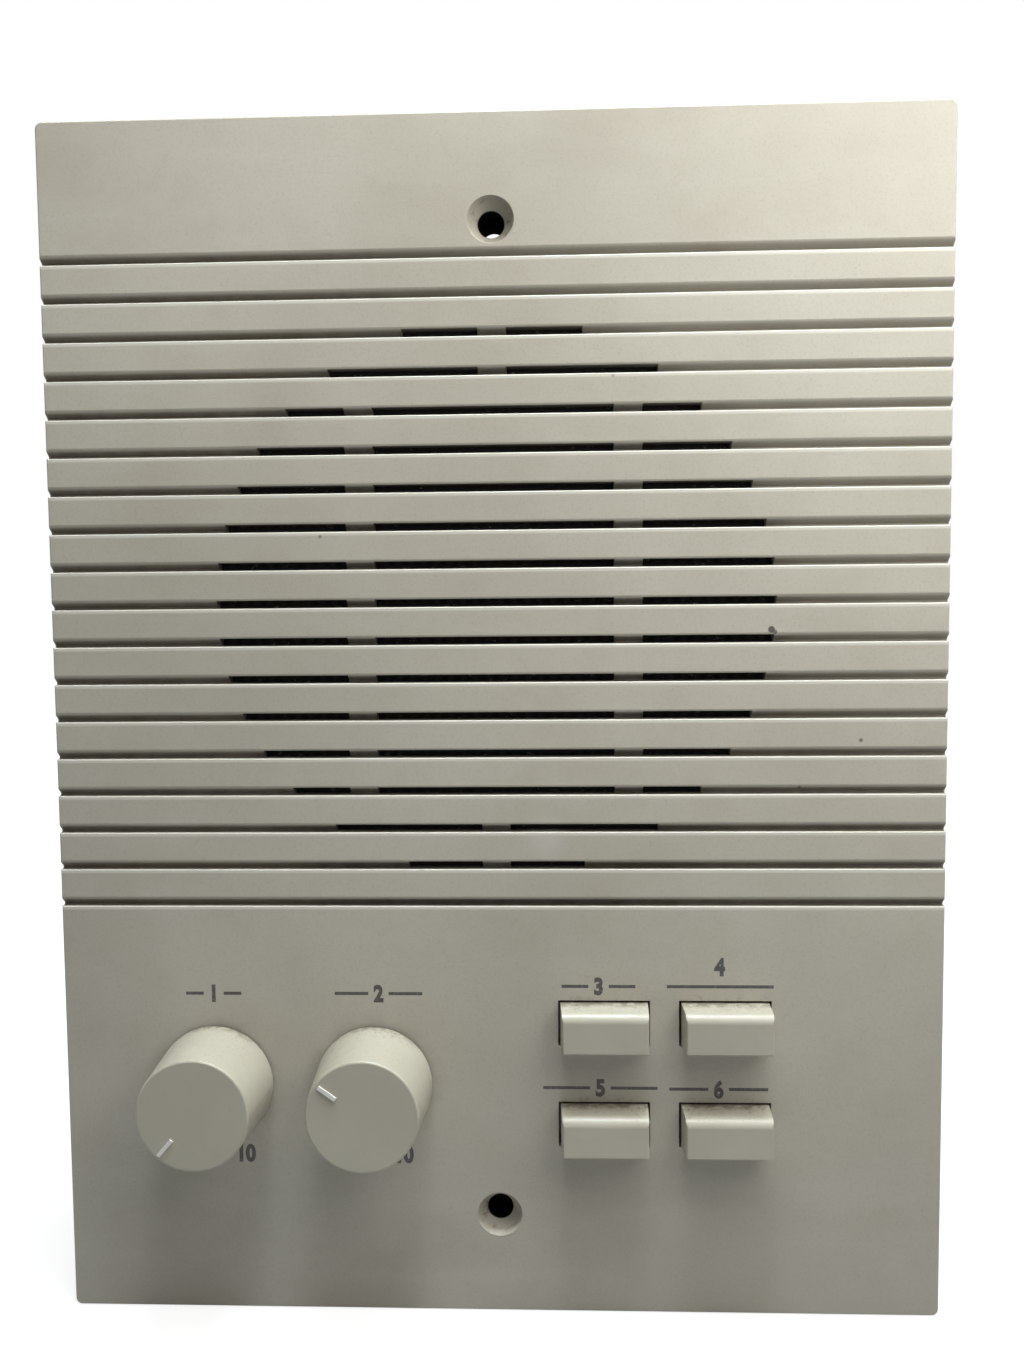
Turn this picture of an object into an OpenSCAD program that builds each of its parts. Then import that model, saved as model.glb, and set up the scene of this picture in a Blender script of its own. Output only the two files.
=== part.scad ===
// Flush wall intercom station: a ribbed speaker faceplate with two volume knobs and four push buttons.
// Millimetres. +Z is up, the front faces -Y and the wall plane is Y = 0.
// The origin is the midpoint between the two wall screws, on the wall plane.

/* [Faceplate] */
// Width of the faceplate
plate_w = 181; // [172:1:210]
// Height of the faceplate
plate_h = 244; // [238:1:280]
// How far the front face stands off the wall
plate_depth = 16; // [15:0.5:22]
// Thickness of the front panel
panel_t = 3; // [2.6:0.1:3.6]
// Thickness of the rim around the panel
rim_t = 2.5; // [1.8:0.1:3.5]
// Radius of the four corners, seen from the front
corner_r = 1.4; // [1:0.1:4]
// Rounding of the front edge
edge_r = 0.4; // [0.2:0.1:1.2]

/* [Grille] */
// Distance from one groove to the next
groove_pitch = 7.65; // [7.3:0.05:7.9]
// Number of grooves across the front
groove_count = 18; // [17:1:18]
// Distance from the top edge to the middle of the first groove
groove_top = 27.1; // [25.5:0.1:28]
// Width of a groove at the front face
groove_w = 1.7; // [1.2:0.1:2.2]
// Width of a groove's flat floor, below its slanted side
groove_floor_w = 0.5; // [0.3:0.1:0.8]
// Depth of a groove
groove_depth = 1.4; // [1:0.1:1.8]
// Rounding of a rib's upper edge
rib_round = 0.4; // [0.2:0.05:0.8]
// Rounding of a rib's lower edge, where the slanted side starts
rib_under_round = 1.2; // [0.6:0.1:1.6]
// Radius of the circle that the sound slots fill
slot_circle_r = 56.5; // [54:0.5:57]
// Width of a sound slot in the floor of its groove
slot_w = 1.5; // [0.8:0.1:1.5]
// Width of the bars left between the slots of one groove
slot_bar_w = 5.7; // [4:0.1:8]
// Distance of the two outer bars from the middle
slot_bar_x = 27; // [22:0.5:32]

/* [Wall screws] */
// Distance of each wall screw from the top or bottom edge
screw_inset = 20.8; // [18:0.1:21.5]
// Diameter of the wall screw hole
screw_hole_d = 5.3; // [4:0.1:6]
// Diameter of the screw head's recess at the front face
screw_seat_d = 9.3; // [8.6:0.1:11]
// Diameter of the recess where its cone begins
screw_cone_d = 8.2; // [7:0.1:8.4]
// Depth of the recess down to its cone
screw_cone_y = 1.8; // [1:0.1:2.4]
// Depth of the whole recess
screw_seat_y = 3.2; // [2.8:0.1:4.5]
// Diameter of the boss behind each wall screw hole
screw_boss_d = 12.5; // [11.5:0.5:14]

/* [Knobs] */
// Height of the knob shafts above the bottom edge
knob_from_bottom = 48.7; // [46:0.1:50]
// Distance of the music knob from the middle
music_x = -59; // [-62:0.1:-57]
// Distance of the intercom knob from the middle
intercom_x = -25.8; // [-27:0.1:-24.5]
// Diameter of a knob at its base
knob_base_d = 24.2; // [22:0.1:26]
// Diameter of a knob at its front
knob_front_d = 22.4; // [21:0.1:24]
// Height of a knob from its base to its front
knob_h = 15; // [14:0.5:18]
// Gap between a knob and the faceplate
knob_gap = 0.6; // [0.4:0.1:1.2]
// Wall of a knob
knob_wall = 1.7; // [1.2:0.1:2.2]
// Thickness of the front of a knob
knob_front_t = 2.2; // [1.6:0.1:2.8]
// Rounding of a knob's front edge
knob_round = 0.5; // [0.3:0.1:1.5]
// Diameter of a knob's inner hub
hub_d = 10; // [9:0.5:12]
// Angle through which a control turns
knob_sweep = 278; // [240:2:290]
// Where the intercom pointer stands, clockwise from the top
intercom_pointer = -54; // [-120:1:120]

/* [Volume controls] */
// Diameter of a control's shaft
shaft_d = 6; // [5.6:0.1:6.4]
// Radial clearance between a shaft and its bushing
shaft_fit = 0.05; // [0.02:0.01:0.08]
// Outer diameter of a control's threaded bushing
bushing_d = 9; // [8.4:0.1:9.4]
// Diameter of a control's case
pot_d = 17; // [15:0.5:20]
// Depth of a control's case behind the panel
pot_depth = 9.5; // [8:0.5:11]
// Size of the bushing nut across its flats
nut_flats = 12; // [11:0.5:13]
// Thickness of the bushing nut
nut_t = 2; // [1.6:0.1:2.4]

/* [Push buttons] */
// Distance of the upper button row from the bottom edge
button_from_bottom = 61.5; // [60:0.1:62.5]
// Distance between the two button rows
button_row = 21.35; // [20:0.05:23]
// Distance from the middle to the first button column
button_x = 21.75; // [20.5:0.05:23]
// Distance between the two button columns
button_col = 24.75; // [24:0.05:28]
// Width of a button cap where it leaves the panel
cap_w = 17.9; // [16:0.1:19]
// Height of a button cap where it leaves the panel
cap_h = 8.75; // [8:0.05:10]
// How far a button cap stands out of the panel
cap_out = 6.4; // [5.5:0.1:8]
// Taper of a cap from the panel to its front, on each side
cap_draft = 0.25; // [0.1:0.05:0.4]
// Rounding of a cap's upper front edge
cap_round = 1.8; // [0.5:0.1:2.2]
// Gap around a cap in its opening
cap_gap = 0.45; // [0.35:0.05:0.6]
// Travel of a button
button_travel = 3; // [2:0.1:3.2]

/* [Speaker] */
// Width of the speaker frame across its flats
frame_w = 127; // [125:1:130]
// Distance of the frame's four screws from the speaker's axis
frame_screw_r = 66; // [65:0.5:68]
// Depth of the speaker frame
frame_depth = 29.4; // [27:0.1:34]
// Thickness of the frame's sheet steel
frame_t = 1; // [0.8:0.1:1.2]
// Height of the seat ring on the back of the panel
seat_h = 3; // [2.5:0.1:4]
// Thickness of the gasket in front of the frame
gasket_t = 1.8; // [1.2:0.1:2.5]
// Radius of the cone's outer edge
cone_r = 51; // [49:0.5:52]
// Depth of the cone
cone_depth = 18.5; // [16:0.5:20]
// Diameter of the magnet
magnet_d = 54; // [48:1:62]
// Thickness of the magnet
magnet_t = 10; // [8:0.5:14]
// Thickness of the steel plates in front of and behind the magnet
pole_plate_t = 4; // [3:0.5:5]
// Radius of the magnet's pole
pole_r = 9.3; // [8.5:0.1:9.6]
// Travel of the cone to each side
cone_travel = 1.5; // [0.5:0.1:1.8]

/* [Circuit board] */
// Distance of the board behind the wall plane
board_y = 6; // [5:0.5:8]
// Thickness of the board
board_t = 1.6; // [1.2:0.1:2]
// Diameter of the posts that carry the board
board_post_d = 7; // [6.5:0.5:8]

/* [Hidden] */
$fn = 64;

// Small overlap that lets a cut run past a face
over = 1;
// Clearance between pieces that move past each other
gap = 0.35;

// Planes across the depth of the object
front_y = -plate_depth;
back_y = front_y + panel_t;
gasket_y = back_y + seat_h;
// The surround's paper edge lies between the gasket and the frame
paper_t = 0.4;
flange_y = gasket_y + gasket_t + paper_t;
base_y = flange_y + frame_depth;

// Grille rows: the speaker sits behind the middle one of those that have slots
speaker_row = 9;
speaker_z = plate_h / 2 - groove_top - speaker_row * groove_pitch;
function groove_z(i) = plate_h / 2 - groove_top - i * groove_pitch;
function slot_half(z) = sqrt(max(0, slot_circle_r * slot_circle_r - pow(z - speaker_z, 2)));
// A slot shorter than this is left out
slot_least = 12;
// Beside an outer bar a slot keeps at least this length
slot_side = 8;
cloth_t = 0.6;

// Wall screws
screw_z = plate_h / 2 - screw_inset;

// Controls
knob_z = -plate_h / 2 + knob_from_bottom;
music_pointer = -knob_sweep / 2;
knob_base_y = front_y - knob_gap;
knob_front_y = knob_base_y - knob_h;
washer_t = 0.6;
washer_d = nut_flats + 2;
bushing_end_y = front_y - washer_t - nut_t - 1;
hub_end_y = bushing_end_y - 0.6;
flat_start_y = hub_end_y - 1.2;
shaft_end_y = knob_front_y + knob_front_t - 0.3;
// Distance from a shaft's axis to its flat
shaft_flat = shaft_d / 2 - 1.5;
pot_rear_y = back_y + pot_depth;
pin_d = 1;
pin_spacing = 5;

// Push buttons: each row and column of the two by two block
button_top_z = -plate_h / 2 + button_from_bottom;
privacy_at = [button_x, button_top_z];
door_at = [button_x + button_col, button_top_z];
listen_at = [button_x, button_top_z - button_row];
talk_at = [button_x + button_col, button_top_z - button_row];
opening_w = cap_w + 2 * cap_gap;
opening_h = cap_h + 2 * cap_gap;
cap_front_y = front_y - cap_out;
// The lip that keeps a cap behind the panel
lip_t = 1;
lip_front_y = back_y + gap;
lip_rear_y = lip_front_y + lip_t;
lip_w = opening_w + 1;
lip_h = opening_h + 1;
cap_wall = 1.2;
// Square rod of the switch that carries the cap
rod_w = 3.2;
collar_w = 6.4;
collar_t = 0.8;
collar_rear_y = lip_rear_y + collar_t;
// Switch case, on the front of the board
case_w = 11;
case_h = 13;
case_depth = 11;
case_front_y = board_y - case_depth;
rod_rear_y = board_y - 1.2 - button_travel - gap;
// Return spring between the switch case and the rod's collar
spring_wire = 0.45;
spring_r = rod_w * 0.71 + gap + spring_wire / 2;
spring_turns = 5;

// Speaker
// Radius of the frame's mouth, where its flange turns inwards round the cone's edge
mouth_r = cone_r + 5.5;
// The seat ring goes round the slots and the frame's mouth
seat_inner_r = max(slot_circle_r, mouth_r) + 1.5;
seat_outer_r = seat_inner_r + 2;
cloth_r = seat_inner_r - 0.4;
gasket_inner_r = seat_inner_r - 0.5;
gasket_outer_r = seat_outer_r + 1.4;
post_d = 8;
post_gap = 0.3;
post_x = frame_screw_r * sqrt(0.5);
// How far the frame's and the gasket's ears reach past the screws
ear_w = 5.5;
ear_r = frame_screw_r + ear_w;
ledge_y = base_y - 7;
ledge_outer_r = 38;
ledge_inner_r = 31.5;
spider_t = 0.4;
rim_y = flange_y + 0.2;
neck_y = rim_y + cone_depth;
former_r = pole_r + gap;
former_t = 0.15;
coil_t = 0.9;
coil_r = former_r + former_t + coil_t;
plate_hole_r = coil_r + gap;
top_plate_y = base_y;
magnet_y = top_plate_y + pole_plate_t;
yoke_y = magnet_y + magnet_t;
// The winding stays in the magnetic gap over the cone's travel
coil_h = pole_plate_t + 2 * cone_travel - 1;
dust_cap_r = 15;
window_count = 8;
strip_w = 30;
strip_t = 1.2;
strip_r1 = 33;
strip_r2 = 50;
strip_y = ledge_y + frame_t;
lug_x = 10;
// Height of the lugs' rivets above the lower edge of the strip, and of the solder holes below it
rivet_up = 6;
solder_down = 2.8;
rivet_d = 1.6;
lug_t = 0.5;

// Circuit board outline, around the controls that it carries
board_hole_in = 4.5;
board_margin = 12.5;
board_left = music_x - pot_d / 2 - board_margin;
board_right = button_x + button_col + lip_w / 2 + 1 + board_post_d / 2 + board_hole_in;
board_top = button_top_z + case_h / 2 + board_hole_in;
board_bottom = min(knob_z - pot_d / 2, listen_at[1] - case_h / 2) - board_hole_in;
board_rear_y = board_y + board_t;
board_posts = [[board_left + board_hole_in, board_top - board_hole_in],
               [board_left + board_hole_in, board_bottom + board_hole_in],
               [board_right - board_hole_in, board_top - board_hole_in],
               [board_right - board_hole_in, board_bottom + board_hole_in]];
// Self-tapping screws of the board and the speaker
tap_d = 2.9;
tap_hole_d = 3;
tap_head_d = 5.6;
tap_head_t = 1.8;
// How deep a screw goes into its post, and how far the hole runs on past it
tap_grip = 4.6;
tap_spare = 0.5;
// Where the speaker leads leave the back of the board
lead_pads = [[-9, board_top - 5], [-4, board_top - 5]];
lead_d = 1.4;
tinsel_d = 0.8;

// Terminal block for the house cable, on the back of the board
way_count = 6;
way_pitch = 7.5;
block_w = way_count * way_pitch + 2;
block_x = music_x + 16;
block_z = knob_z + 4;
block_h = 11;
block_depth = 12;

// Small parts on the front of the board
resistor_at = [[-2, knob_z + 12], [-2, knob_z + 7], [-2, knob_z + 2], [-2, knob_z - 3]];
resistor_d = 3;
resistor_l = 9;
resistor_pins = 13;
capacitor_at = [[-8, knob_z - 12], [4, knob_z - 12]];
capacitor_d = 8;
capacitor_h = 12;
capacitor_pins = 3.5;
wire_d = 0.6;

plastic = [0.86, 0.84, 0.78];
cap_plastic = [0.88, 0.88, 0.85];
steel = [0.62, 0.63, 0.64];
paper = [0.16, 0.15, 0.14];

// Extrudes an outline, drawn as seen from the front, between two depths
module slab(y0, y1) {
    translate([0, y1, 0]) rotate([90, 0, 0]) linear_extrude(y1 - y0) children();
}

// Turns a profile of [radius, depth] points about an axis that runs into the wall
module turned(x = 0, z = 0) {
    translate([x, 0, z]) rotate([-90, 0, 0]) rotate_extrude() children();
}

// Round rod along the depth
module rod(x, z, d, y0, y1) {
    translate([x, y0, z]) rotate([-90, 0, 0]) cylinder(d = d, h = y1 - y0);
}

// Rectangular bar along the depth
module bar(x, z, w, h, y0, y1) {
    translate([x - w / 2, y0, z - h / 2]) cube([w, y1 - y0, h]);
}

function unit(v) = v / norm(v);
function left_of(v) = [-v[1], v[0]];
function way_in(p, i) = unit(p[max(i, 1)] - p[max(i, 1) - 1]);
function way_out(p, i) = unit(p[min(i, len(p) - 2) + 1] - p[min(i, len(p) - 2)]);
// A line beside a path, mitred at the path's corners
function side_line(p, d) = [
    for (i = [0 : len(p) - 1])
        let (a = left_of(way_in(p, i)), n = unit(a + left_of(way_out(p, i))))
        p[i] + n * (d / (n * a))];
function reversed(p) = [for (i = [len(p) - 1 : -1 : 0]) p[i]];
// Outline of a sheet of thickness t along a path
function sheet(p, t) = concat(side_line(p, t / 2), reversed(side_line(p, -t / 2)));

// Sweeps a round tube along points; refs gives a direction across the tube at each point
module tube(path, refs, d, sides) {
    n = len(path);
    rings = [for (i = [0 : n - 1])
        let (t = unit(path[min(i + 1, n - 1)] - path[max(i - 1, 0)]),
             u = unit(refs[i] - t * (refs[i] * t)),
             v = cross(t, u))
        for (k = [0 : sides - 1])
            path[i] + (u * cos(360 * k / sides) + v * sin(360 * k / sides)) * d / 2];
    walls = [for (i = [0 : n - 2], k = [0 : sides - 1])
        let (a = i * sides + k, b = i * sides + (k + 1) % sides)
        each [[a, b, a + sides], [b, b + sides, a + sides]]];
    ends = [for (k = [1 : sides - 2])
        each [[0, k + 1, k], [(n - 1) * sides, (n - 1) * sides + k, (n - 1) * sides + k + 1]]];
    polyhedron(points = rings, faces = concat([for (f = walls) reversed(f)], [for (f = ends) reversed(f)]));
}

// Outline of the faceplate, drawn smaller by an inset
module plate_outline(inset = 0) {
    r = max(corner_r - inset, 0.4);
    w = plate_w - 2 * inset;
    h = plate_h - 2 * inset;
    square([w - 2 * r, h], center = true);
    square([w, h - 2 * r], center = true);
    for (sx = [-1, 1], sz = [-1, 1])
        translate([sx * (w / 2 - r), sz * (h / 2 - r)]) circle(r = r);
}

// Quarter circle that rounds the front edge, with its corner at the origin
module edge_profile() {
    intersection() {
        circle(r = edge_r);
        translate([0, -edge_r]) square([edge_r, edge_r]);
    }
}

// The front layer of the plate, with its rounded edge
module front_layer() {
    slab(front_y, front_y + edge_r) plate_outline(edge_r);
    for (s = [-1, 1]) {
        translate([s * (plate_w / 2 - edge_r), front_y + edge_r, -(plate_h / 2 - corner_r)])
            mirror([s < 0 ? 1 : 0, 0, 0]) linear_extrude(plate_h - 2 * corner_r) edge_profile();
        translate([-(plate_w / 2 - corner_r), front_y + edge_r, s * (plate_h / 2 - edge_r)])
            mirror([0, 0, s < 0 ? 1 : 0]) rotate([0, 90, 0]) mirror([1, 0, 0])
                linear_extrude(plate_w - 2 * corner_r) edge_profile();
    }
    for (sx = [-1, 1], sz = [-1, 1])
        translate([sx * (plate_w / 2 - corner_r), front_y + edge_r, sz * (plate_h / 2 - corner_r)])
            rotate([-90, 0, 0]) rotate_extrude() intersection() {
                union() {
                    translate([corner_r - edge_r, 0]) circle(r = edge_r);
                    translate([0, -edge_r]) square([corner_r - edge_r, edge_r]);
                }
                translate([0, -edge_r]) square([corner_r, edge_r]);
            }
}

// Cross-section of a groove: x runs into the panel and y up. The upper side slants in from the front,
// the lower side stands square. The roundings' circles stop short of their faces by a small amount, so
// that they meet them at an edge.
module groove_profile() {
    short = 0.03;
    u = groove_w / 2;
    rise = groove_w - groove_floor_w;
    slant = atan(groove_depth / rise);
    polygon([[-over, -u], [-over, u + over * rise / groove_depth], [groove_depth, groove_floor_w - u],
             [groove_depth, -u]]);
    r = rib_under_round - short;
    c = [r, u + r * tan(slant / 2)];
    difference() {
        polygon([c, [-over, c[1]], [-over, -u / 2], [groove_depth / 2, -u / 2],
                 c - [cos(slant), sin(slant)] * (rib_under_round + 0.1)]);
        translate(c) circle(r = rib_under_round);
    }
    q = rib_round - short;
    difference() {
        translate([-over, -u - q]) square([over + q, q + u / 2]);
        translate([q, -u - q]) circle(r = rib_round);
    }
}

module grooves() {
    for (i = [0 : groove_count - 1])
        translate([-plate_w / 2 - over, front_y, groove_z(i)])
            rotate([90, 0, 90]) linear_extrude(plate_w + 2 * over) groove_profile();
}

// One slot through the floor of a groove, from x0 to x1
module slot(x0, x1, z) {
    translate([x0, front_y - over, z - slot_w / 2]) cube([x1 - x0, panel_t + 2 * over, slot_w]);
}

// The slots fill a circle; the longer rows have two bars across them and the short ones a single bar
module slots() {
    for (i = [0 : groove_count - 1]) {
        z = groove_z(i);
        half = slot_half(z);
        if (half > slot_bar_x + slot_bar_w / 2 + slot_side) {
            slot(-half, -slot_bar_x - slot_bar_w / 2, z);
            slot(-slot_bar_x + slot_bar_w / 2, slot_bar_x - slot_bar_w / 2, z);
            slot(slot_bar_x + slot_bar_w / 2, half, z);
        } else if (half > slot_least) {
            slot(-half, -slot_bar_w / 2, z);
            slot(slot_bar_w / 2, half, z);
        }
    }
}

// Recess for a wall screw's oval head: a drafted wall, a cone and a straight hole through the boss
module screw_recess(z) {
    turned(0, z) polygon([[0, front_y - over], [screw_seat_d / 2 + 0.3, front_y - over],
        [screw_seat_d / 2, front_y], [screw_cone_d / 2, front_y + screw_cone_y],
        [screw_hole_d / 2, front_y + screw_seat_y], [screw_hole_d / 2, over], [0, over]]);
}

// Stiffening ribs behind the panel
rib_t = 1.5;
rib_h = 4;
module panel_ribs() {
    inner_w = plate_w / 2 - rim_t;
    mid_z = button_top_z + opening_h / 2 + 9;
    bar(0, mid_z, 2 * inner_w + 1, rib_t, back_y - 0.5, back_y + rib_h);
    for (s = [-1, 1]) {
        rib_z = s * (plate_h / 2 - rim_t);
        boss_z = s * (screw_z + screw_boss_d / 2);
        bar(0, (rib_z + boss_z) / 2, rib_t, abs(rib_z - boss_z) + 2, back_y - 0.5, -3);
        bar(0, s * screw_z, screw_boss_d + 24, rib_t, back_y - 0.5, back_y + rib_h);
    }
}

module faceplate() {
    color(plastic) difference() {
        union() {
            difference() {
                union() {
                    front_layer();
                    slab(front_y + edge_r, 0) plate_outline();
                }
                slab(back_y, over) plate_outline(rim_t);
            }
            for (s = [-1, 1]) rod(0, s * screw_z, screw_boss_d, back_y - 0.5, 0);
            slab(back_y - 0.5, gasket_y) translate([0, speaker_z]) difference() {
                circle(r = seat_outer_r);
                circle(r = seat_inner_r);
            }
            for (sx = [-1, 1], sz = [-1, 1])
                rod(sx * post_x, speaker_z + sz * post_x, post_d, back_y - 0.5, flange_y);
            for (p = board_posts) rod(p[0], p[1], board_post_d, back_y - 0.5, board_y);
            panel_ribs();
        }
        grooves();
        slots();
        for (s = [-1, 1]) screw_recess(s * screw_z);
        for (p = [privacy_at, door_at, listen_at, talk_at])
            bar(p[0], p[1], opening_w, opening_h, front_y - over, back_y + over);
        for (x = [music_x, intercom_x]) rod(x, knob_z, bushing_d + 0.3, front_y - over, back_y + over);
        for (sx = [-1, 1], sz = [-1, 1])
            rod(sx * post_x, speaker_z + sz * post_x, tap_hole_d, flange_y - tap_grip - tap_spare,
                flange_y + over);
        for (p = board_posts)
            rod(p[0], p[1], tap_hole_d, board_y - tap_grip - 2 * tap_spare, board_y + over);
    }
}

module grille_cloth() {
    color([0.07, 0.07, 0.07]) rod(0, speaker_z, 2 * cloth_r, back_y, back_y + cloth_t);
}

// Stamped frame: a flange with four ears, a windowed cone, a ledge for the spider and a base
module speaker_basket() {
    path = [[mouth_r + 1.4, flange_y + frame_t / 2], [mouth_r, flange_y + frame_t / 2],
            [mouth_r - 1.2, flange_y + 1.6], [mouth_r - 2, flange_y + 5],
            [ledge_outer_r, ledge_y + frame_t / 2], [ledge_inner_r, ledge_y + frame_t / 2],
            [ledge_inner_r - 1.5, base_y - frame_t / 2], [plate_hole_r + 1, base_y - frame_t / 2]];
    color(steel) difference() {
        union() {
            slab(flange_y, flange_y + frame_t) translate([0, speaker_z]) difference() {
                intersection() {
                    square(frame_w, center = true);
                    circle(r = ear_r);
                }
                circle(r = mouth_r + 0.6);
            }
            turned(0, speaker_z) polygon(sheet(path, frame_t));
        }
        for (sx = [-1, 1], sz = [-1, 1])
            rod(sx * post_x, speaker_z + sz * post_x, tap_d + 0.9, flange_y - over,
                flange_y + frame_t + over);
        for (i = [0 : window_count - 1])
            slab(flange_y + 1.5, ledge_y) translate([0, speaker_z]) rotate((i + 0.5) * 360 / window_count)
                polygon([[ledge_outer_r + 2.5, -8], [mouth_r - 3.2, -11.2], [mouth_r - 3.2, 11.2],
                         [ledge_outer_r + 2.5, 8]]);
    }
}

// Foam ring with an ear round each of the four posts
module speaker_gasket() {
    color([0.22, 0.2, 0.18]) slab(gasket_y, gasket_y + gasket_t) translate([0, speaker_z]) difference() {
        union() {
            circle(r = gasket_outer_r);
            for (sx = [-1, 1], sz = [-1, 1]) {
                translate([sx * post_x, sz * post_x]) circle(r = ear_w);
                rotate(atan2(sz, sx)) translate([0, -ear_w / 2]) square([frame_screw_r, ear_w]);
            }
        }
        circle(r = gasket_inner_r);
        for (sx = [-1, 1], sz = [-1, 1])
            translate([sx * post_x, sz * post_x]) circle(r = post_d / 2 + post_gap);
    }
}

// Pleated paper edge between the frame and the cone
pleat_count = 2;
pleat_h = 0.9;
module cone_surround() {
    r0 = cone_r + 0.1;
    r1 = mouth_r - 0.4;
    mid = flange_y - paper_t / 2;
    pleats = [for (k = [0 : 6 * pleat_count])
        [r0 + (r1 - r0) * k / (6 * pleat_count), mid - pleat_h * (1 - cos(60 * k)) / 2]];
    path = concat([[cone_r - 1.6, mid]], pleats, [[gasket_outer_r - 0.5, mid]]);
    color(paper) difference() {
        turned(0, speaker_z) polygon(sheet(path, paper_t));
        for (sx = [-1, 1], sz = [-1, 1])
            rod(sx * post_x, speaker_z + sz * post_x, post_d + 2 * post_gap, mid - 2 * pleat_h,
                mid + 2 * pleat_h);
    }
}

// The cone's line from its rim to its neck, a little curved; t runs from 0 at the rim to 1 at the neck
cone_rim_r = cone_r - 1.9;
neck_r = former_r + former_t + 0.2;
function cone_line(t) = [cone_rim_r - (cone_rim_r - neck_r) * t,
                         rim_y + (neck_y - rim_y) * (0.75 * t + 0.25 * t * t)];
function cone_depth_at(r) = cone_line((cone_rim_r - r) / (cone_rim_r - neck_r))[1];

// Curved paper cone with a flat rim that the surround is glued to
module speaker_cone() {
    steps = 6;
    curve = [for (k = [0 : steps]) cone_line(k / steps)];
    color(paper) difference() {
        turned(0, speaker_z) polygon(sheet(concat([[cone_r, flange_y + paper_t / 2]], curve), paper_t));
        rod(0, speaker_z, 2 * (former_r + former_t), rim_y, base_y);
        rod(0, speaker_z, 2 * cone_r + 4, rim_y - 10, flange_y);
    }
}

// Shallow dome over the middle of the cone
module dust_cap() {
    dome = 4.5;
    steps = 6;
    foot_y = cone_depth_at(dust_cap_r) - 0.5;
    path = [for (k = [0 : steps])
        [dust_cap_r * cos(90 * k / steps), foot_y - dome * sin(90 * k / steps)]];
    color([0.2, 0.19, 0.18]) turned(0, speaker_z) intersection() {
        polygon(sheet(path, 0.5));
        translate([0, foot_y - 2 * dome]) square([dust_cap_r + 1, 2 * dome]);
    }
}

// Paper former with its copper winding, centred in the magnet's gap
module voice_coil() {
    mid = top_plate_y + pole_plate_t / 2;
    color([0.72, 0.42, 0.22]) turned(0, speaker_z) {
        translate([former_r, neck_y - 1]) square([former_t, mid + coil_h / 2 - neck_y + 1.5]);
        translate([former_r + former_t - 0.01, mid - coil_h / 2]) square([coil_t + 0.01, coil_h]);
    }
}

// Corrugated cloth disc that centres the coil
module spider() {
    r0 = former_r + former_t + 0.1;
    mid = ledge_y - spider_t / 2;
    waves = 4;
    steps = 6 * waves;
    wave_h = 1.1;
    curve = [for (k = [0 : steps])
        [r0 + 2 + (ledge_inner_r - r0 - 2.5) * k / steps,
         mid - wave_h * (1 - cos(360 * waves * k / steps)) / 2]];
    path = concat([[r0, mid]], curve, [[ledge_outer_r - 2, mid]]);
    color([0.78, 0.62, 0.3]) turned(0, speaker_z) polygon(sheet(path, spider_t));
}

module top_plate() {
    color(steel) slab(top_plate_y, top_plate_y + pole_plate_t) translate([0, speaker_z]) difference() {
        circle(d = magnet_d - 4);
        circle(r = plate_hole_r);
    }
}

module magnet() {
    chamfer = 0.8;
    y0 = magnet_y;
    y1 = magnet_y + magnet_t;
    r = magnet_d / 2;
    color([0.13, 0.13, 0.14]) turned(0, speaker_z) polygon([[plate_hole_r + 2, y0], [r - chamfer, y0],
        [r, y0 + chamfer], [r, y1 - chamfer], [r - chamfer, y1], [plate_hole_r + 2, y1]]);
}

// Back plate with the pole that reaches into the coil
module yoke() {
    r = magnet_d / 2 - 2;
    y1 = yoke_y + pole_plate_t;
    color(steel) turned(0, speaker_z) polygon([[0, top_plate_y], [pole_r - 0.4, top_plate_y],
        [pole_r, top_plate_y + 0.4], [pole_r, yoke_y], [r, yoke_y], [r, y1 - 1], [r - 1, y1], [0, y1]]);
}

// Board that carries the speaker's two lugs, riveted behind the spider ledge
module terminal_strip() {
    color([0.42, 0.26, 0.14]) difference() {
        slab(strip_y, strip_y + strip_t) translate([-strip_w / 2, speaker_z - strip_r2])
            square([strip_w, strip_r2 - strip_r1]);
        for (s = [-1, 1])
            rod(s * lug_x, speaker_z - strip_r2 + rivet_up, rivet_d + 0.2, strip_y - over,
                strip_y + strip_t + over);
    }
}

module solder_lugs() {
    lug_y = strip_y + strip_t;
    for (s = [-1, 1]) color([0.75, 0.7, 0.5]) difference() {
        union() {
            slab(lug_y, lug_y + lug_t) translate([s * lug_x - 2, speaker_z - strip_r2 - solder_down - 2.2])
                square([4, 14]);
            rod(s * lug_x, speaker_z - strip_r2 + rivet_up, rivet_d, strip_y - 0.4, lug_y + lug_t + 0.4);
        }
        rod(s * lug_x, speaker_z - strip_r2 - solder_down, lead_d + 0.2, lug_y - over, lug_y + 2);
    }
}

function across(n) = [for (i = [0 : n - 1]) [1, 0, 0]];
// Points of a smooth line through given ones, cut into a number of steps between each two
function smooth(p, steps) = concat([for (i = [0 : len(p) - 2], k = [0 : steps - 1])
    let (t = k / steps, a = p[max(i - 1, 0)], b = p[i], c = p[i + 1], d = p[min(i + 2, len(p) - 1)])
    0.5 * (2 * b + (c - a) * t + (2 * a - 5 * b + 4 * c - d) * t * t
           + (3 * b - a - 3 * c + d) * t * t * t)],
    [p[len(p) - 1]]);

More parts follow.
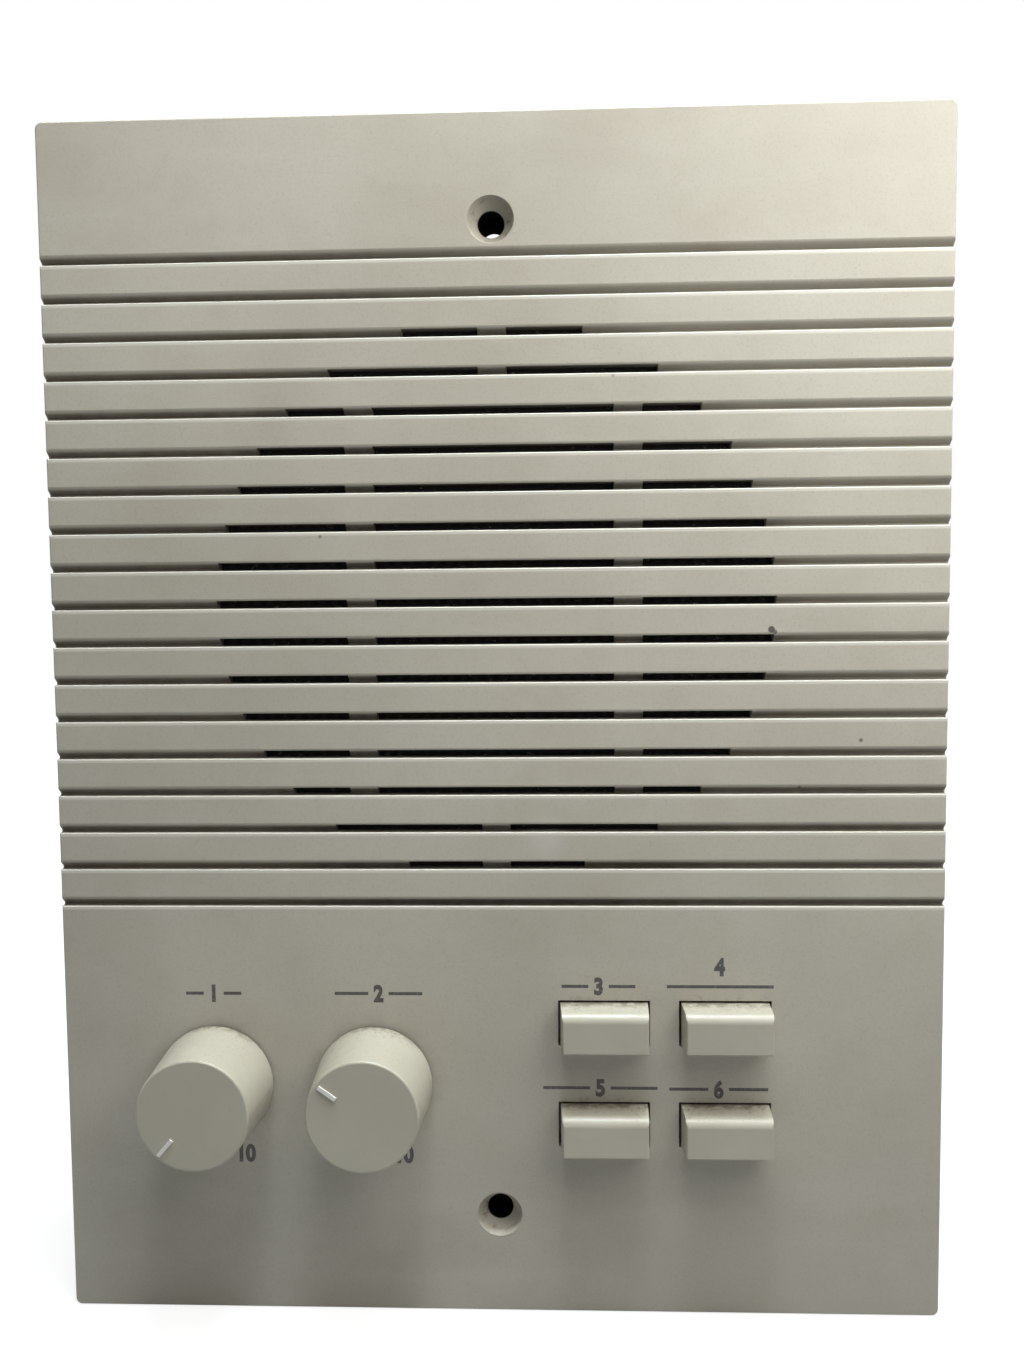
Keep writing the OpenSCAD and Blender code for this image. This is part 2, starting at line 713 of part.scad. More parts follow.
// Flexible leads from the lugs' rivets through the frame's windows to the back of the cone
module tinsel_leads() {
    for (s = [-1, 1]) {
        z0 = speaker_z - strip_r2 + rivet_up;
        end = [lug_x + 1, strip_r2 - rivet_up - 14.5];
        end_y = cone_depth_at(norm(end)) + paper_t / 2 + 0.6;
        route = [[s * lug_x, strip_y - 0.5, z0], [s * (lug_x + 1.5), strip_y - 4, z0 + 0.5],
                 [s * (lug_x + 3), strip_y - 8, z0 + 3], [s * (lug_x + 3.4), strip_y - 11.5, z0 + 7],
                 [s * (lug_x + 2.5), end_y + 1.2, z0 + 11], [s * end[0], end_y, speaker_z - end[1]]];
        path = smooth(route, 3);
        color([0.6, 0.4, 0.25]) tube(path, across(len(path)), tinsel_d, 6);
    }
}

// Leads from the board to the speaker's lugs
module speaker_leads() {
    for (i = [0, 1]) {
        x0 = lead_pads[i][0];
        z0 = lead_pads[i][1];
        x1 = (i == 0 ? -1 : 1) * lug_x;
        y1 = strip_y + strip_t + lug_t / 2;
        z1 = speaker_z - strip_r2 - solder_down;
        route = [[x0, board_rear_y, z0], [x0, board_rear_y + 4, z0], [x0, board_rear_y + 9, z0 + 2],
                 [(x0 + x1) / 2, y1 + 8, (z0 + z1) / 2], [x1, y1 + 7, z1 - 4], [x1, y1 + 3.5, z1],
                 [x1, y1, z1]];
        path = smooth(route, 3);
        color(i == 0 ? [0.1, 0.1, 0.1] : [0.65, 0.1, 0.08]) tube(path, across(len(path)), lead_d, 8);
    }
}

// Pan-head tapping screw with its head behind the piece that it holds
module tapping_screw(x, z, y, length) {
    difference() {
        union() {
            turned(x, z) polygon([[0, y], [tap_head_d / 2, y], [tap_head_d / 2, y + tap_head_t * 0.55],
                [tap_head_d / 2 - 0.8, y + tap_head_t], [0, y + tap_head_t]]);
            rod(x, z, tap_d, y - length, y + 0.1);
        }
        for (a = [0, 90])
            translate([x, y + tap_head_t, z]) rotate([0, a, 0]) cube([3.2, 1.8, 0.7], center = true);
    }
}

module speaker_screws() {
    color(steel) for (sx = [-1, 1], sz = [-1, 1])
        tapping_screw(sx * post_x, speaker_z + sz * post_x, flange_y + frame_t, tap_grip + frame_t);
}

module board_screws() {
    color(steel) for (p = board_posts) tapping_screw(p[0], p[1], board_rear_y, tap_grip + board_t);
}

// Pins of one volume control, seen from the front
function pot_pins(x) = [for (k = [-1, 0, 1]) [x + k * pin_spacing, knob_z - pot_d / 2 + 1.5]];
// Pins of one switch, seen from the front
function switch_pins(p) = [for (sx = [-1, 1], k = [-1, 0, 1]) [p[0] + sx * 3, p[1] + k * 4]];
function resistor_holes() = [for (p = resistor_at, s = [-1, 1]) [p[0] + s * resistor_pins / 2, p[1]]];
function capacitor_holes() = [for (p = capacitor_at, s = [-1, 1]) [p[0] + s * capacitor_pins / 2, p[1]]];
function block_pins() = [for (k = [0 : way_count - 1])
    [block_x + (k - (way_count - 1) / 2) * way_pitch, block_z]];

module circuit_board() {
    holes = concat(pot_pins(music_x), pot_pins(intercom_x), switch_pins(privacy_at), switch_pins(door_at),
                   switch_pins(listen_at), switch_pins(talk_at), resistor_holes(), capacitor_holes(),
                   block_pins());
    color([0.55, 0.4, 0.2]) difference() {
        slab(board_y, board_rear_y) translate([board_left, board_bottom])
            square([board_right - board_left, board_top - board_bottom]);
        for (p = board_posts) rod(p[0], p[1], tap_d + 0.5, board_y - over, board_rear_y + over);
        for (p = holes) rod(p[0], p[1], pin_d + 0.3, board_y - over, board_rear_y + over);
    }
}

// Volume control: a round case with a threaded bushing through the panel
module pot(x) {
    color([0.7, 0.68, 0.6]) difference() {
        union() {
            turned(x, knob_z) polygon([[0, back_y], [pot_d / 2 - 1, back_y], [pot_d / 2, back_y + 1],
                [pot_d / 2, pot_rear_y - 1.6], [pot_d / 2 - 0.8, pot_rear_y - 0.8],
                [pot_d / 2 - 0.8, pot_rear_y], [0, pot_rear_y]]);
            rod(x, knob_z, bushing_d, bushing_end_y, back_y + 0.5);
            bar(x, knob_z - pot_d / 2 + 1, 3 * pin_spacing - 1, 5, pot_rear_y - 1.4, pot_rear_y);
            for (p = pot_pins(x)) rod(p[0], p[1], pin_d, pot_rear_y - 1, board_rear_y + 1);
        }
        rod(x, knob_z, shaft_d + 2 * shaft_fit, bushing_end_y - over, pot_rear_y - 1.5);
    }
}

module music_pot() { pot(music_x); }
module intercom_pot() { pot(intercom_x); }

module shaft(x) {
    color(steel) difference() {
        rod(x, knob_z, shaft_d, shaft_end_y, pot_rear_y - 2);
        bar(x, knob_z + shaft_flat + shaft_d / 2, shaft_d + 2, shaft_d, shaft_end_y - over, flat_start_y);
    }
}

module music_shaft() { shaft(music_x); }
module intercom_shaft() { shaft(intercom_x); }

module pot_washers() {
    color(steel) for (x = [music_x, intercom_x])
        slab(front_y - washer_t, front_y) translate([x, knob_z]) difference() {
            circle(d = washer_d);
            circle(d = bushing_d + 0.2);
        }
}

module pot_nuts() {
    color(steel) for (x = [music_x, intercom_x])
        slab(front_y - washer_t - nut_t, front_y - washer_t) translate([x, knob_z]) difference() {
            circle(r = nut_flats / sqrt(3), $fn = 6);
            circle(d = bushing_d + 0.1);
        }
}

// Hollow knob: tapered skirt, rounded front edge, webbed hub with a flatted bore, raised pointer
pointer_w = 0.8;
pointer_h = 0.35;
module knob(x, pointer) {
    r0 = knob_base_d / 2;
    r1 = knob_front_d / 2;
    web_rear_y = hub_end_y - 1.5;
    skin = [[0, knob_front_y], [r1 - knob_round, knob_front_y], [r1, knob_front_y + knob_round],
            [r0, knob_base_y], [r0 - knob_wall, knob_base_y],
            [r1 - knob_wall, knob_front_y + knob_front_t], [0, knob_front_y + knob_front_t]];
    color(cap_plastic) difference() {
        union() {
            turned(x, knob_z) {
                polygon(skin);
                translate([r1 - knob_round, knob_front_y + knob_round]) circle(r = knob_round);
            }
            rod(x, knob_z, hub_d, knob_front_y + 1, hub_end_y);
            for (a = [0, 90]) intersection() {
                turned(x, knob_z) polygon([[0, knob_front_y + 1], [r1 - 0.8, knob_front_y + 1],
                    [r1 - 0.8, web_rear_y], [0, web_rear_y]]);
                translate([x, 0, knob_z]) rotate([0, pointer + 45 + a, 0])
                    bar(0, 0, 2 * r1, 1.2, knob_front_y + 1, web_rear_y);
            }
            translate([x, 0, knob_z]) rotate([0, pointer, 0])
                bar(0, r1 * 0.74, pointer_w, r1 * 0.37, knob_front_y - pointer_h, knob_front_y + 0.5);
        }
        difference() {
            rod(x, knob_z, shaft_d + 0.1, shaft_end_y - 0.1, hub_end_y + over);
            bar(x, knob_z + shaft_flat + 0.05 + shaft_d / 2, shaft_d + 2, shaft_d,
                shaft_end_y - over, flat_start_y - 0.1);
        }
    }
}

module music_knob() { knob(music_x, music_pointer); }
module intercom_knob() { knob(intercom_x, intercom_pointer); }

// Switch case on the board, with the channel that its rod slides in
module switch_case(p) {
    color([0.12, 0.12, 0.13]) difference() {
        union() {
            bar(p[0], p[1], case_w, case_h, case_front_y + 1.5, board_y);
            bar(p[0], p[1], case_w - 2, case_h - 4, case_front_y, board_y);
            for (q = switch_pins(p)) rod(q[0], q[1], pin_d, board_y - 1, board_rear_y + 1);
        }
        bar(p[0], p[1], rod_w + 2 * gap, rod_w + 2 * gap, case_front_y - over, board_y - 1);
    }
}

module privacy_switch() { switch_case(privacy_at); }
module door_switch() { switch_case(door_at); }
module listen_switch() { switch_case(listen_at); }
module talk_switch() { switch_case(talk_at); }

// Sliding rod with the collar that the return spring pushes on
rod_front_y = cap_front_y + 3.2;
module plunger(p) {
    color([0.85, 0.83, 0.75]) {
        bar(p[0], p[1], rod_w, rod_w, rod_front_y, rod_rear_y);
        bar(p[0], p[1], collar_w, collar_w, lip_rear_y, collar_rear_y);
    }
}

module privacy_plunger() { plunger(privacy_at); }
module door_plunger() { plunger(door_at); }
module listen_plunger() { plunger(listen_at); }
module talk_plunger() { plunger(talk_at); }

// Side view of a cap: x runs into the wall, y is up; the upper front edge is rounded
module cap_side() {
    h = cap_h / 2;
    d = cap_draft;
    top = h - d;
    polygon([[cap_front_y, -h + d + 0.3], [cap_front_y + 0.3, -h + d], [front_y, -h],
             [lip_rear_y, -h], [lip_rear_y, h], [front_y, h], [cap_front_y + cap_round, top],
             [cap_front_y, top - cap_round]]);
    translate([cap_front_y + cap_round, top - cap_round]) circle(r = cap_round);
}

// Plan view of a cap: x is across, y runs into the wall
module cap_plan() {
    w = cap_w / 2;
    f = w - cap_draft;
    polygon([[-f + 0.3, cap_front_y], [f - 0.3, cap_front_y], [f, cap_front_y + 0.3], [w, front_y],
             [w, lip_rear_y], [-w, lip_rear_y], [-w, front_y], [-f, cap_front_y + 0.3]]);
}

// Moulded cap: a hollow block with a lip behind the panel and a square socket for the rod
module cap(p) {
    front_t = 1.8;
    inner_w = cap_w - 2 * cap_wall - 2 * cap_draft;
    inner_h = cap_h - 2 * cap_wall - 2 * cap_draft - 0.3;
    color(cap_plastic) translate([p[0], 0, p[1]]) difference() {
        union() {
            difference() {
                union() {
                    intersection() {
                        rotate([90, 0, 90]) translate([0, 0, -cap_w]) linear_extrude(2 * cap_w) cap_side();
                        translate([0, 0, -cap_h]) linear_extrude(2 * cap_h) cap_plan();
                    }
                    bar(0, 0, lip_w, lip_h, lip_front_y, lip_rear_y);
                }
                bar(0, -0.2, inner_w, inner_h, cap_front_y + front_t, lip_rear_y + over);
            }
            bar(0, 0, rod_w + 2.6, inner_h + 1, cap_front_y + front_t - 0.5, lip_rear_y);
        }
        bar(0, 0, rod_w + 0.1, rod_w + 0.1, rod_front_y - 0.2, lip_rear_y + over);
    }
}

module privacy_cap() { cap(privacy_at); }
module door_cap() { cap(door_at); }
module listen_cap() { cap(listen_at); }
module talk_cap() { cap(talk_at); }

// Return spring: straight ends, square to the case and the collar, and turns of one unbroken wire
spring_y0 = collar_rear_y;
spring_y1 = case_front_y;
spring_rise = spring_y1 - spring_y0 - 2 * spring_wire;
function spring_angle(k) = 360 * k / 8;
function spring_coil() = [for (k = [0 : 8 * spring_turns])
    [spring_r * cos(spring_angle(k)), spring_y0 + spring_wire + spring_rise * k / (8 * spring_turns),
     spring_r * sin(spring_angle(k))]];
function spring_path() = concat([[spring_r, spring_y0, 0]], spring_coil(), [[spring_r, spring_y1, 0]]);
function spring_refs() = [for (q = spring_path()) [q[0], 0, q[2]]];
echo(spring_gap_mm = min([for (i = [0 : 8 * spring_turns], j = [i + 6 : 1 : 8 * spring_turns])
    norm(spring_coil()[i] - spring_coil()[j])]) - spring_wire);

module spring(p) {
    color(steel) translate([p[0], 0, p[1]]) tube(spring_path(), spring_refs(), spring_wire, 6);
}

module privacy_spring() { spring(privacy_at); }
module door_spring() { spring(door_at); }
module listen_spring() { spring(listen_at); }
module talk_spring() { spring(talk_at); }

// Six-way screw terminal for the house cable
module terminal_block() {
    y0 = board_rear_y;
    color([0.12, 0.3, 0.16]) difference() {
        union() {
            translate([block_x - block_w / 2, 0, block_z]) rotate([90, 0, 90]) linear_extrude(block_w)
                polygon([[y0, -block_h / 2], [y0 + block_depth - 4, -block_h / 2],
                         [y0 + block_depth, -block_h / 2 + 3], [y0 + block_depth, block_h / 2 - 1],
                         [y0 + block_depth - 1, block_h / 2], [y0, block_h / 2]]);
            for (p = block_pins()) rod(p[0], p[1], pin_d, board_y - 1, y0 + 0.5);
        }
        for (p = block_pins()) {
            rod(p[0], p[1] + 0.6, 4.4, y0 + 6, y0 + block_depth + over);
            bar(p[0], p[1] - block_h / 2 + 2, 4, 6, y0 + 1.5, y0 + 5);
        }
    }
}

module terminal_screws() {
    color(steel) for (p = block_pins()) difference() {
        rod(p[0], p[1] + 0.6, 4, board_rear_y + 6, board_rear_y + block_depth - 1.5);
        bar(p[0], p[1] + 0.6, 5, 0.8, board_rear_y + block_depth - 2.6, board_rear_y + block_depth);
    }
}

module resistors() {
    color([0.76, 0.62, 0.42]) for (p = resistor_at) {
        y = board_y - resistor_d / 2 - 0.3;
        translate([p[0] - resistor_l / 2, y, p[1]]) rotate([0, 90, 0])
            cylinder(d = resistor_d, h = resistor_l);
        translate([p[0] - resistor_pins / 2, y, p[1]]) rotate([0, 90, 0])
            cylinder(d = wire_d - 0.1, h = resistor_pins);
        for (s = [-1, 1])
            rod(p[0] + s * resistor_pins / 2, p[1], wire_d, y - wire_d / 2, board_rear_y + 1);
    }
}

module capacitors() {
    y0 = board_y - capacitor_h;
    color([0.15, 0.2, 0.35]) for (p = capacitor_at) {
        turned(p[0], p[1]) polygon([[0, y0], [capacitor_d / 2 - 0.6, y0], [capacitor_d / 2, y0 + 0.6],
            [capacitor_d / 2, board_y], [0, board_y]]);
        for (s = [-1, 1])
            rod(p[0] + s * capacitor_pins / 2, p[1], wire_d, board_y - 1, board_rear_y + 1);
    }
}

faceplate();
grille_cloth();
speaker_basket();
speaker_gasket();
cone_surround();
speaker_cone();
dust_cap();
voice_coil();
spider();
top_plate();
magnet();
yoke();
terminal_strip();
solder_lugs();
tinsel_leads();
speaker_leads();
speaker_screws();
circuit_board();
board_screws();
music_pot();
intercom_pot();
music_shaft();
intercom_shaft();
pot_washers();
pot_nuts();
music_knob();
intercom_knob();
privacy_switch();
door_switch();
listen_switch();
talk_switch();
privacy_plunger();
door_plunger();
listen_plunger();
talk_plunger();
privacy_cap();
door_cap();
listen_cap();
talk_cap();
privacy_spring();
door_spring();
listen_spring();
talk_spring();
terminal_block();
terminal_screws();
resistors();
capacitors();
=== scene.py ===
"""Looks of the wall intercom station: materials, cloth, wires, printed marks, light and camera."""

import math
import random

import bpy
from mathutils import Euler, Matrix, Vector


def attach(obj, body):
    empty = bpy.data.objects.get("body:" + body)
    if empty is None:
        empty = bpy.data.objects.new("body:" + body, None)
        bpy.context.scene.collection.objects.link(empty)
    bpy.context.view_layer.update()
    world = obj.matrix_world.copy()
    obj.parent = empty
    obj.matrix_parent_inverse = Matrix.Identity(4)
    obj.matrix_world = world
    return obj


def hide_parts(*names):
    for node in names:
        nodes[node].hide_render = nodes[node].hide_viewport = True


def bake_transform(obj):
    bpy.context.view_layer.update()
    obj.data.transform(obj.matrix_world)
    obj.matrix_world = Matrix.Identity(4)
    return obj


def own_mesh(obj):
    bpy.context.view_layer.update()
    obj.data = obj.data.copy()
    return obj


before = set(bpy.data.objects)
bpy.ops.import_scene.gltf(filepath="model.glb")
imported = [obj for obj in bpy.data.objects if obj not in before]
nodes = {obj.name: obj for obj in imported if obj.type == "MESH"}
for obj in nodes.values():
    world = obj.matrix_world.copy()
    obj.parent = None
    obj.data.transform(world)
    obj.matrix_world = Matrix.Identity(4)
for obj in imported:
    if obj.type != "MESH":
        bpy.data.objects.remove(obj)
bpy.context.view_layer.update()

MM = 0.001
# Places shared with the part's source, in millimetres
FRONT = -16.0
HALF_W = 90.5
HALF_H = 122.0
SCREW_Z = 101.2
SPEAKER_Z = 26.05
KNOB_Z = -73.3
GROOVE_TOP_Z = 94.9
GROOVE_PITCH = 7.65
MUSIC_X = -59.0
INTERCOM_X = -25.8
BOARD_BACK = 7.6
CLOTH_R = 57.4
# Middle of each button, as (x, z)
BUTTONS = {
    "privacy": (21.75, -60.5),
    "door": (46.5, -60.5),
    "listen": (21.75, -81.85),
    "talk": (46.5, -81.85),
}


# ---------------------------------------------------------------- materials
class Shade:
    """A material, and short calls for the nodes that these materials share.

    Its coordinates are metres in the row frame.
    """

    def __init__(self, name, colour=(0.5, 0.5, 0.5), rough=0.5, metal=0.0, spec=0.5):
        self.mat = bpy.data.materials.new(name)
        self.mat.use_nodes = True
        self.tree = self.mat.node_tree
        self.tree.nodes.clear()
        self.out = self.tree.nodes.new("ShaderNodeOutputMaterial")
        self.bsdf = self.tree.nodes.new("ShaderNodeBsdfPrincipled")
        self.tree.links.new(self.bsdf.outputs[0], self.out.inputs[0])
        self.bsdf.inputs["Base Color"].default_value = (*colour, 1)
        self.bsdf.inputs["Roughness"].default_value = rough
        self.bsdf.inputs["Metallic"].default_value = metal
        self.bsdf.inputs["Specular IOR Level"].default_value = spec
        self.where = self.tree.nodes.new("ShaderNodeTexCoord").outputs["Object"]
        split = self.tree.nodes.new("ShaderNodeSeparateXYZ")
        self.tree.links.new(self.where, split.inputs[0])
        self.x, self.y, self.z = split.outputs

    def put(self, value, socket):
        if hasattr(value, "is_linked"):
            self.tree.links.new(value, socket)
        elif isinstance(value, (tuple, list)) and len(value) == 3 and socket.type == "RGBA":
            socket.default_value = (*value, 1)
        else:
            socket.default_value = value

    def math(self, op, a, b=0.0):
        n = self.tree.nodes.new("ShaderNodeMath")
        n.operation = op
        self.put(a, n.inputs[0])
        self.put(b, n.inputs[1])
        return n.outputs[0]

    def step(self, value, lo, hi, a=0.0, b=1.0):
        """Smooth step from a at lo to b at hi."""
        n = self.tree.nodes.new("ShaderNodeMapRange")
        n.interpolation_type = "SMOOTHSTEP"
        for socket, v in zip(n.inputs, (value, lo, hi, a, b)):
            self.put(v, socket)
        return n.outputs[0]

    def both(self, *values):
        out = values[0]
        for v in values[1:]:
            out = self.math("MULTIPLY", out, v)
        return out

    def moved(self, scale=(1, 1, 1), shift=(0, 0, 0), turn=(0, 0, 0)):
        n = self.tree.nodes.new("ShaderNodeMapping")
        self.put(self.where, n.inputs["Vector"])
        n.inputs["Scale"].default_value = scale
        n.inputs["Location"].default_value = shift
        n.inputs["Rotation"].default_value = turn
        return n.outputs[0]

    def noise(self, scale, detail=2.0, rough=0.5, stretch=(1, 1, 1), shift=(0, 0, 0)):
        n = self.tree.nodes.new("ShaderNodeTexNoise")
        self.put(self.moved(stretch, shift), n.inputs["Vector"])
        n.inputs["Scale"].default_value = scale
        n.inputs["Detail"].default_value = detail
        n.inputs["Roughness"].default_value = rough
        return n.outputs["Fac"]

    def cells(self, scale):
        n = self.tree.nodes.new("ShaderNodeTexVoronoi")
        n.feature = "F1"
        self.put(self.moved(), n.inputs["Vector"])
        n.inputs["Scale"].default_value = scale
        return n.outputs["Distance"]

    def wave(self, scale, turn=(0, 0, 0)):
        n = self.tree.nodes.new("ShaderNodeTexWave")
        n.wave_type = "BANDS"
        self.put(self.moved(turn=turn), n.inputs["Vector"])
        n.inputs["Scale"].default_value = scale
        return n.outputs["Fac"]

    def mix(self, fac, a, b):
        n = self.tree.nodes.new("ShaderNodeMix")
        n.data_type = "RGBA"
        self.put(fac, n.inputs[0])
        self.put(a, n.inputs[6])
        self.put(b, n.inputs[7])
        return n.outputs[2]

    def bump(self, height, strength, distance, under=None):
        n = self.tree.nodes.new("ShaderNodeBump")
        n.inputs["Strength"].default_value = strength
        n.inputs["Distance"].default_value = distance
        self.put(height, n.inputs["Height"])
        if under is not None:
            self.put(under, n.inputs["Normal"])
        return n.outputs[0]

    def round_edges(self, radius):
        n = self.tree.nodes.new("ShaderNodeBevel")
        n.samples = 4
        n.inputs["Radius"].default_value = radius
        return n.outputs[0]

    def near(self, x, z, radius, soft):
        """1 within a radius of a point of the front, 0 beyond; all in millimetres."""
        dx = self.math("SUBTRACT", self.x, x * MM)
        dz = self.math("SUBTRACT", self.z, z * MM)
        d = self.math("SQRT", self.math("ADD", self.both(dx, dx), self.both(dz, dz)))
        return self.step(d, radius * MM, (radius + soft) * MM, 1, 0)

    def colour(self, value):
        self.put(value, self.bsdf.inputs["Base Color"])

    def roughness(self, value):
        self.put(value, self.bsdf.inputs["Roughness"])

    def normal(self, value):
        self.put(value, self.bsdf.inputs["Normal"])


def facing_up(shade):
    n = shade.tree.nodes.new("ShaderNodeNewGeometry")
    split = shade.tree.nodes.new("ShaderNodeSeparateXYZ")
    shade.tree.links.new(n.outputs["Normal"], split.inputs[0])
    return split.outputs[2]


def plate_plastic():
    """Aged almond plastic with a fine moulded grain, grime and painted shade in the grooves and round the
    controls, painted highlights on the ribs' upper edges and painted shade in the screw bores.
    """
    s = Shade("plate_plastic", rough=0.42, spec=0.45)
    broad = s.noise(14, 3, 0.55)
    cloud = s.noise(60, 3, 0.6, shift=(3, 1, 2))
    wiped = s.noise(90, 3, 0.6, stretch=(0.12, 1, 1))
    base = s.mix(s.step(broad, 0.35, 0.65), (0.398, 0.3715, 0.309), (0.446, 0.418, 0.352))
    base = s.mix(s.math("MULTIPLY", s.step(cloud, 0.45, 0.75), 0.35), base, (0.366, 0.331, 0.268))
    base = s.mix(s.math("MULTIPLY", s.step(wiped, 0.5, 0.8), 0.26), base, (0.49, 0.468, 0.41))
    film = s.noise(26, 4, 0.6, stretch=(1, 1, 1.6), shift=(7, 3, 4))
    base = s.mix(s.math("MULTIPLY", s.step(film, 0.50, 0.72), 0.16), base, (0.27, 0.235, 0.175))
    grain = s.noise(2600, 2, 0.6)
    base = s.mix(s.math("MULTIPLY", s.step(grain, 0.50, 0.70), 0.20), base, (0.25, 0.228, 0.185))

    # Grime and painted shade lie deeper than the ribs' edges, on the face inside the rim and off the screw
    # recesses
    inside = s.both(s.step(s.math("ABSOLUTE", s.x), (HALF_W - 0.3) * MM, (HALF_W - 0.05) * MM, 1, 0),
                    s.step(s.math("ABSOLUTE", s.z), (HALF_H - 0.4) * MM, (HALF_H - 0.1) * MM, 1, 0))
    front = s.step(s.y, -13.06 * MM, -13.02 * MM, 1, 0)
    deep = s.both(s.step(s.y, -15.98 * MM, -15.25 * MM), inside, front)
    recess = s.math("MAXIMUM", s.near(0, SCREW_Z, 4.9, 0.3), s.near(0, -SCREW_Z, 4.9, 0.3))
    patchy = s.step(s.noise(300, 4, 0.65), 0.25, 0.75, 0.78, 1.0)
    grooves = s.both(deep, patchy, s.math("SUBTRACT", 1.0, recess))
    # Painted light: the grooves' darkening fades towards the upper right, where the light falls
    less_shade_upper_right = s.step(s.math("ADD", s.x, s.z), 40 * MM, 130 * MM, 0.80, 0.25)
    base = s.mix(s.both(grooves, less_shade_upper_right), base, (0.095, 0.078, 0.056))
    # The grooves go darker still, nearly black, round the speaker and below it
    darker_round_speaker = s.both(grooves, s.math("MAXIMUM", s.near(0, SPEAKER_Z, 50, 14), s.near(0, -9, 34, 22)))
    base = s.mix(s.math("MULTIPLY", darker_round_speaker, 0.62), base, (0.030, 0.024, 0.018))

    # Painted highlight: the ribs' upper edges are made pale
    from_top = s.math("SUBTRACT", GROOVE_TOP_Z * MM, s.z)
    below = s.math("FRACT", s.math("MULTIPLY", from_top, 1 / (GROOVE_PITCH * MM)))
    lit = s.both(s.step(below, 0.105, 0.135), s.step(below, 0.185, 0.235, 1, 0))
    ribbed = s.both(s.step(s.z, -37.0 * MM, -36.9 * MM), s.step(s.z, 94.9 * MM, 95.0 * MM, 1, 0))
    rib_edge_highlight = s.both(lit, ribbed, s.step(s.y, -15.85 * MM, -15.7 * MM, 1, 0), inside, front)
    base = s.mix(s.both(rib_edge_highlight, 0.55), base, (0.70, 0.68, 0.62))
    smudge = s.both(recess, s.step(s.noise(420, 4, 0.7, shift=(2, 5, 1)), 0.50, 0.66),
                    s.step(s.y, -15.9 * MM, -13.6 * MM, 0.15, 0.75))
    base = s.mix(smudge, base, (0.16, 0.12, 0.07))
    # Painted shade: the screw bores are made near black, and lose their gloss below
    bore_shade = s.both(s.math("MAXIMUM", s.near(0, SCREW_Z, 2.72, 0.04), s.near(0, -SCREW_Z, 2.72, 0.04)),
                  s.step(s.y, -13.2 * MM, -12.6 * MM))
    base = s.mix(bore_shade, base, (0.012, 0.011, 0.010))

    # Handling dirt above the buttons, and mottled painted shade round the knobs
    worn = s.step(s.noise(700, 4, 0.7), 0.48, 0.70)
    for x, z in BUTTONS.values():
        aside = s.math("ABSOLUTE", s.math("SUBTRACT", s.x, x * MM))
        above = s.math("ABSOLUTE", s.math("SUBTRACT", s.z, (z + 4.9) * MM))
        band = s.both(s.step(aside, 8.0 * MM, 10.5 * MM, 1, 0), s.step(above, 0.2 * MM, 1.6 * MM, 1, 0))
        base = s.mix(s.both(band, worn, 0.45), base, (0.20, 0.16, 0.11))
    for x in (MUSIC_X, INTERCOM_X):
        ring = s.both(s.near(x, KNOB_Z, 12.6, 3.2), s.step(s.noise(160, 3, 0.6), 0.35, 0.7))
        base = s.mix(s.both(ring, 0.35), base, (0.28, 0.24, 0.19))

    # A dark speck and a few fainter ones
    for x, z, r, dark in ((55.4, 20.1, 0.55, 0.95), (56.1, 19.6, 0.30, 0.8), (73.3, -2.2, 0.28, 0.7),
                          (61.2, -11.7, 0.22, 0.6), (-35.0, 39.5, 0.22, 0.6), (24.0, 70.5, 0.2, 0.4)):
        base = s.mix(s.both(s.near(x, z, r, 0.25), dark), base, (0.05, 0.042, 0.036))
    base = s.mix(s.both(s.near(10.0, -22.0, 1.0, 5.0), 0.35), base, (0.55, 0.54, 0.51))
    s.colour(base)
    gloss = s.step(s.noise(220, 3, 0.6), 0.3, 0.7, 0.36, 0.47)
    s.roughness(s.math("ADD", gloss, s.math("MULTIPLY", deep, 0.35)))
    s.put(s.step(bore_shade, 0, 1, 0.45, 0.0), s.bsdf.inputs["Specular IOR Level"])
    edge = s.round_edges(0.12 * MM)
    coarse = s.math("MULTIPLY", s.noise(1100, 2), 0.6)
    s.normal(s.bump(s.math("ADD", grain, coarse), 0.22, 0.05 * MM, edge))
    return s.mat


def control_plastic():
    """Cooler, smoother plastic of the knobs and caps, with dust on what faces up and painted shade where they
    meet the panel.
    """
    s = Shade("control_plastic", rough=0.4, spec=0.5)
    base = s.mix(s.step(s.noise(40, 3), 0.35, 0.7), (0.386, 0.362, 0.290), (0.431, 0.406, 0.332))
    up = s.step(facing_up(s), 0.55, 0.9)
    near_panel = s.step(s.y, -21.5 * MM, -17.0 * MM, 0.35, 1.0)
    specks = s.step(s.noise(1500, 4, 0.75), 0.50, 0.68)
    dust = s.both(up, specks, s.step(s.noise(150, 2), 0.35, 0.6, 0.35, 1.0), near_panel)
    base = s.mix(s.both(dust, 0.85), base, (0.12, 0.095, 0.065))
    # Dirt and painted shade: a dark band on the tops next to the panel
    line = s.both(up, s.step(s.y, -19.0 * MM, -16.6 * MM), s.step(s.noise(520, 4, 0.7), 0.36, 0.60))
    base = s.mix(s.both(line, 0.75), base, (0.115, 0.088, 0.060))
    film = s.both(s.step(s.noise(380, 4, 0.7), 0.52, 0.75), 0.16)
    base = s.mix(film, base, (0.30, 0.28, 0.235))
    # Painted shade: the knobs and caps go dark where they meet the panel and inside its openings
    panel_shade = s.step(s.y, -16.9 * MM, -15.6 * MM)
    base = s.mix(s.both(panel_shade, 0.6), base, (0.15, 0.13, 0.10))
    base = s.mix(s.step(s.y, -31.66 * MM, -31.62 * MM, 1, 0), base, (0.72, 0.71, 0.66))
    s.colour(base)
    s.roughness(s.step(s.noise(500, 3), 0.3, 0.7, 0.34, 0.46))
    edge = s.round_edges(0.15 * MM)
    s.normal(s.bump(s.noise(2400, 2), 0.12, 0.04 * MM, edge))
    return s.mat


# A band texture turns by this many radians for each unit of its scaled coordinate
WAVE_RATE = 20


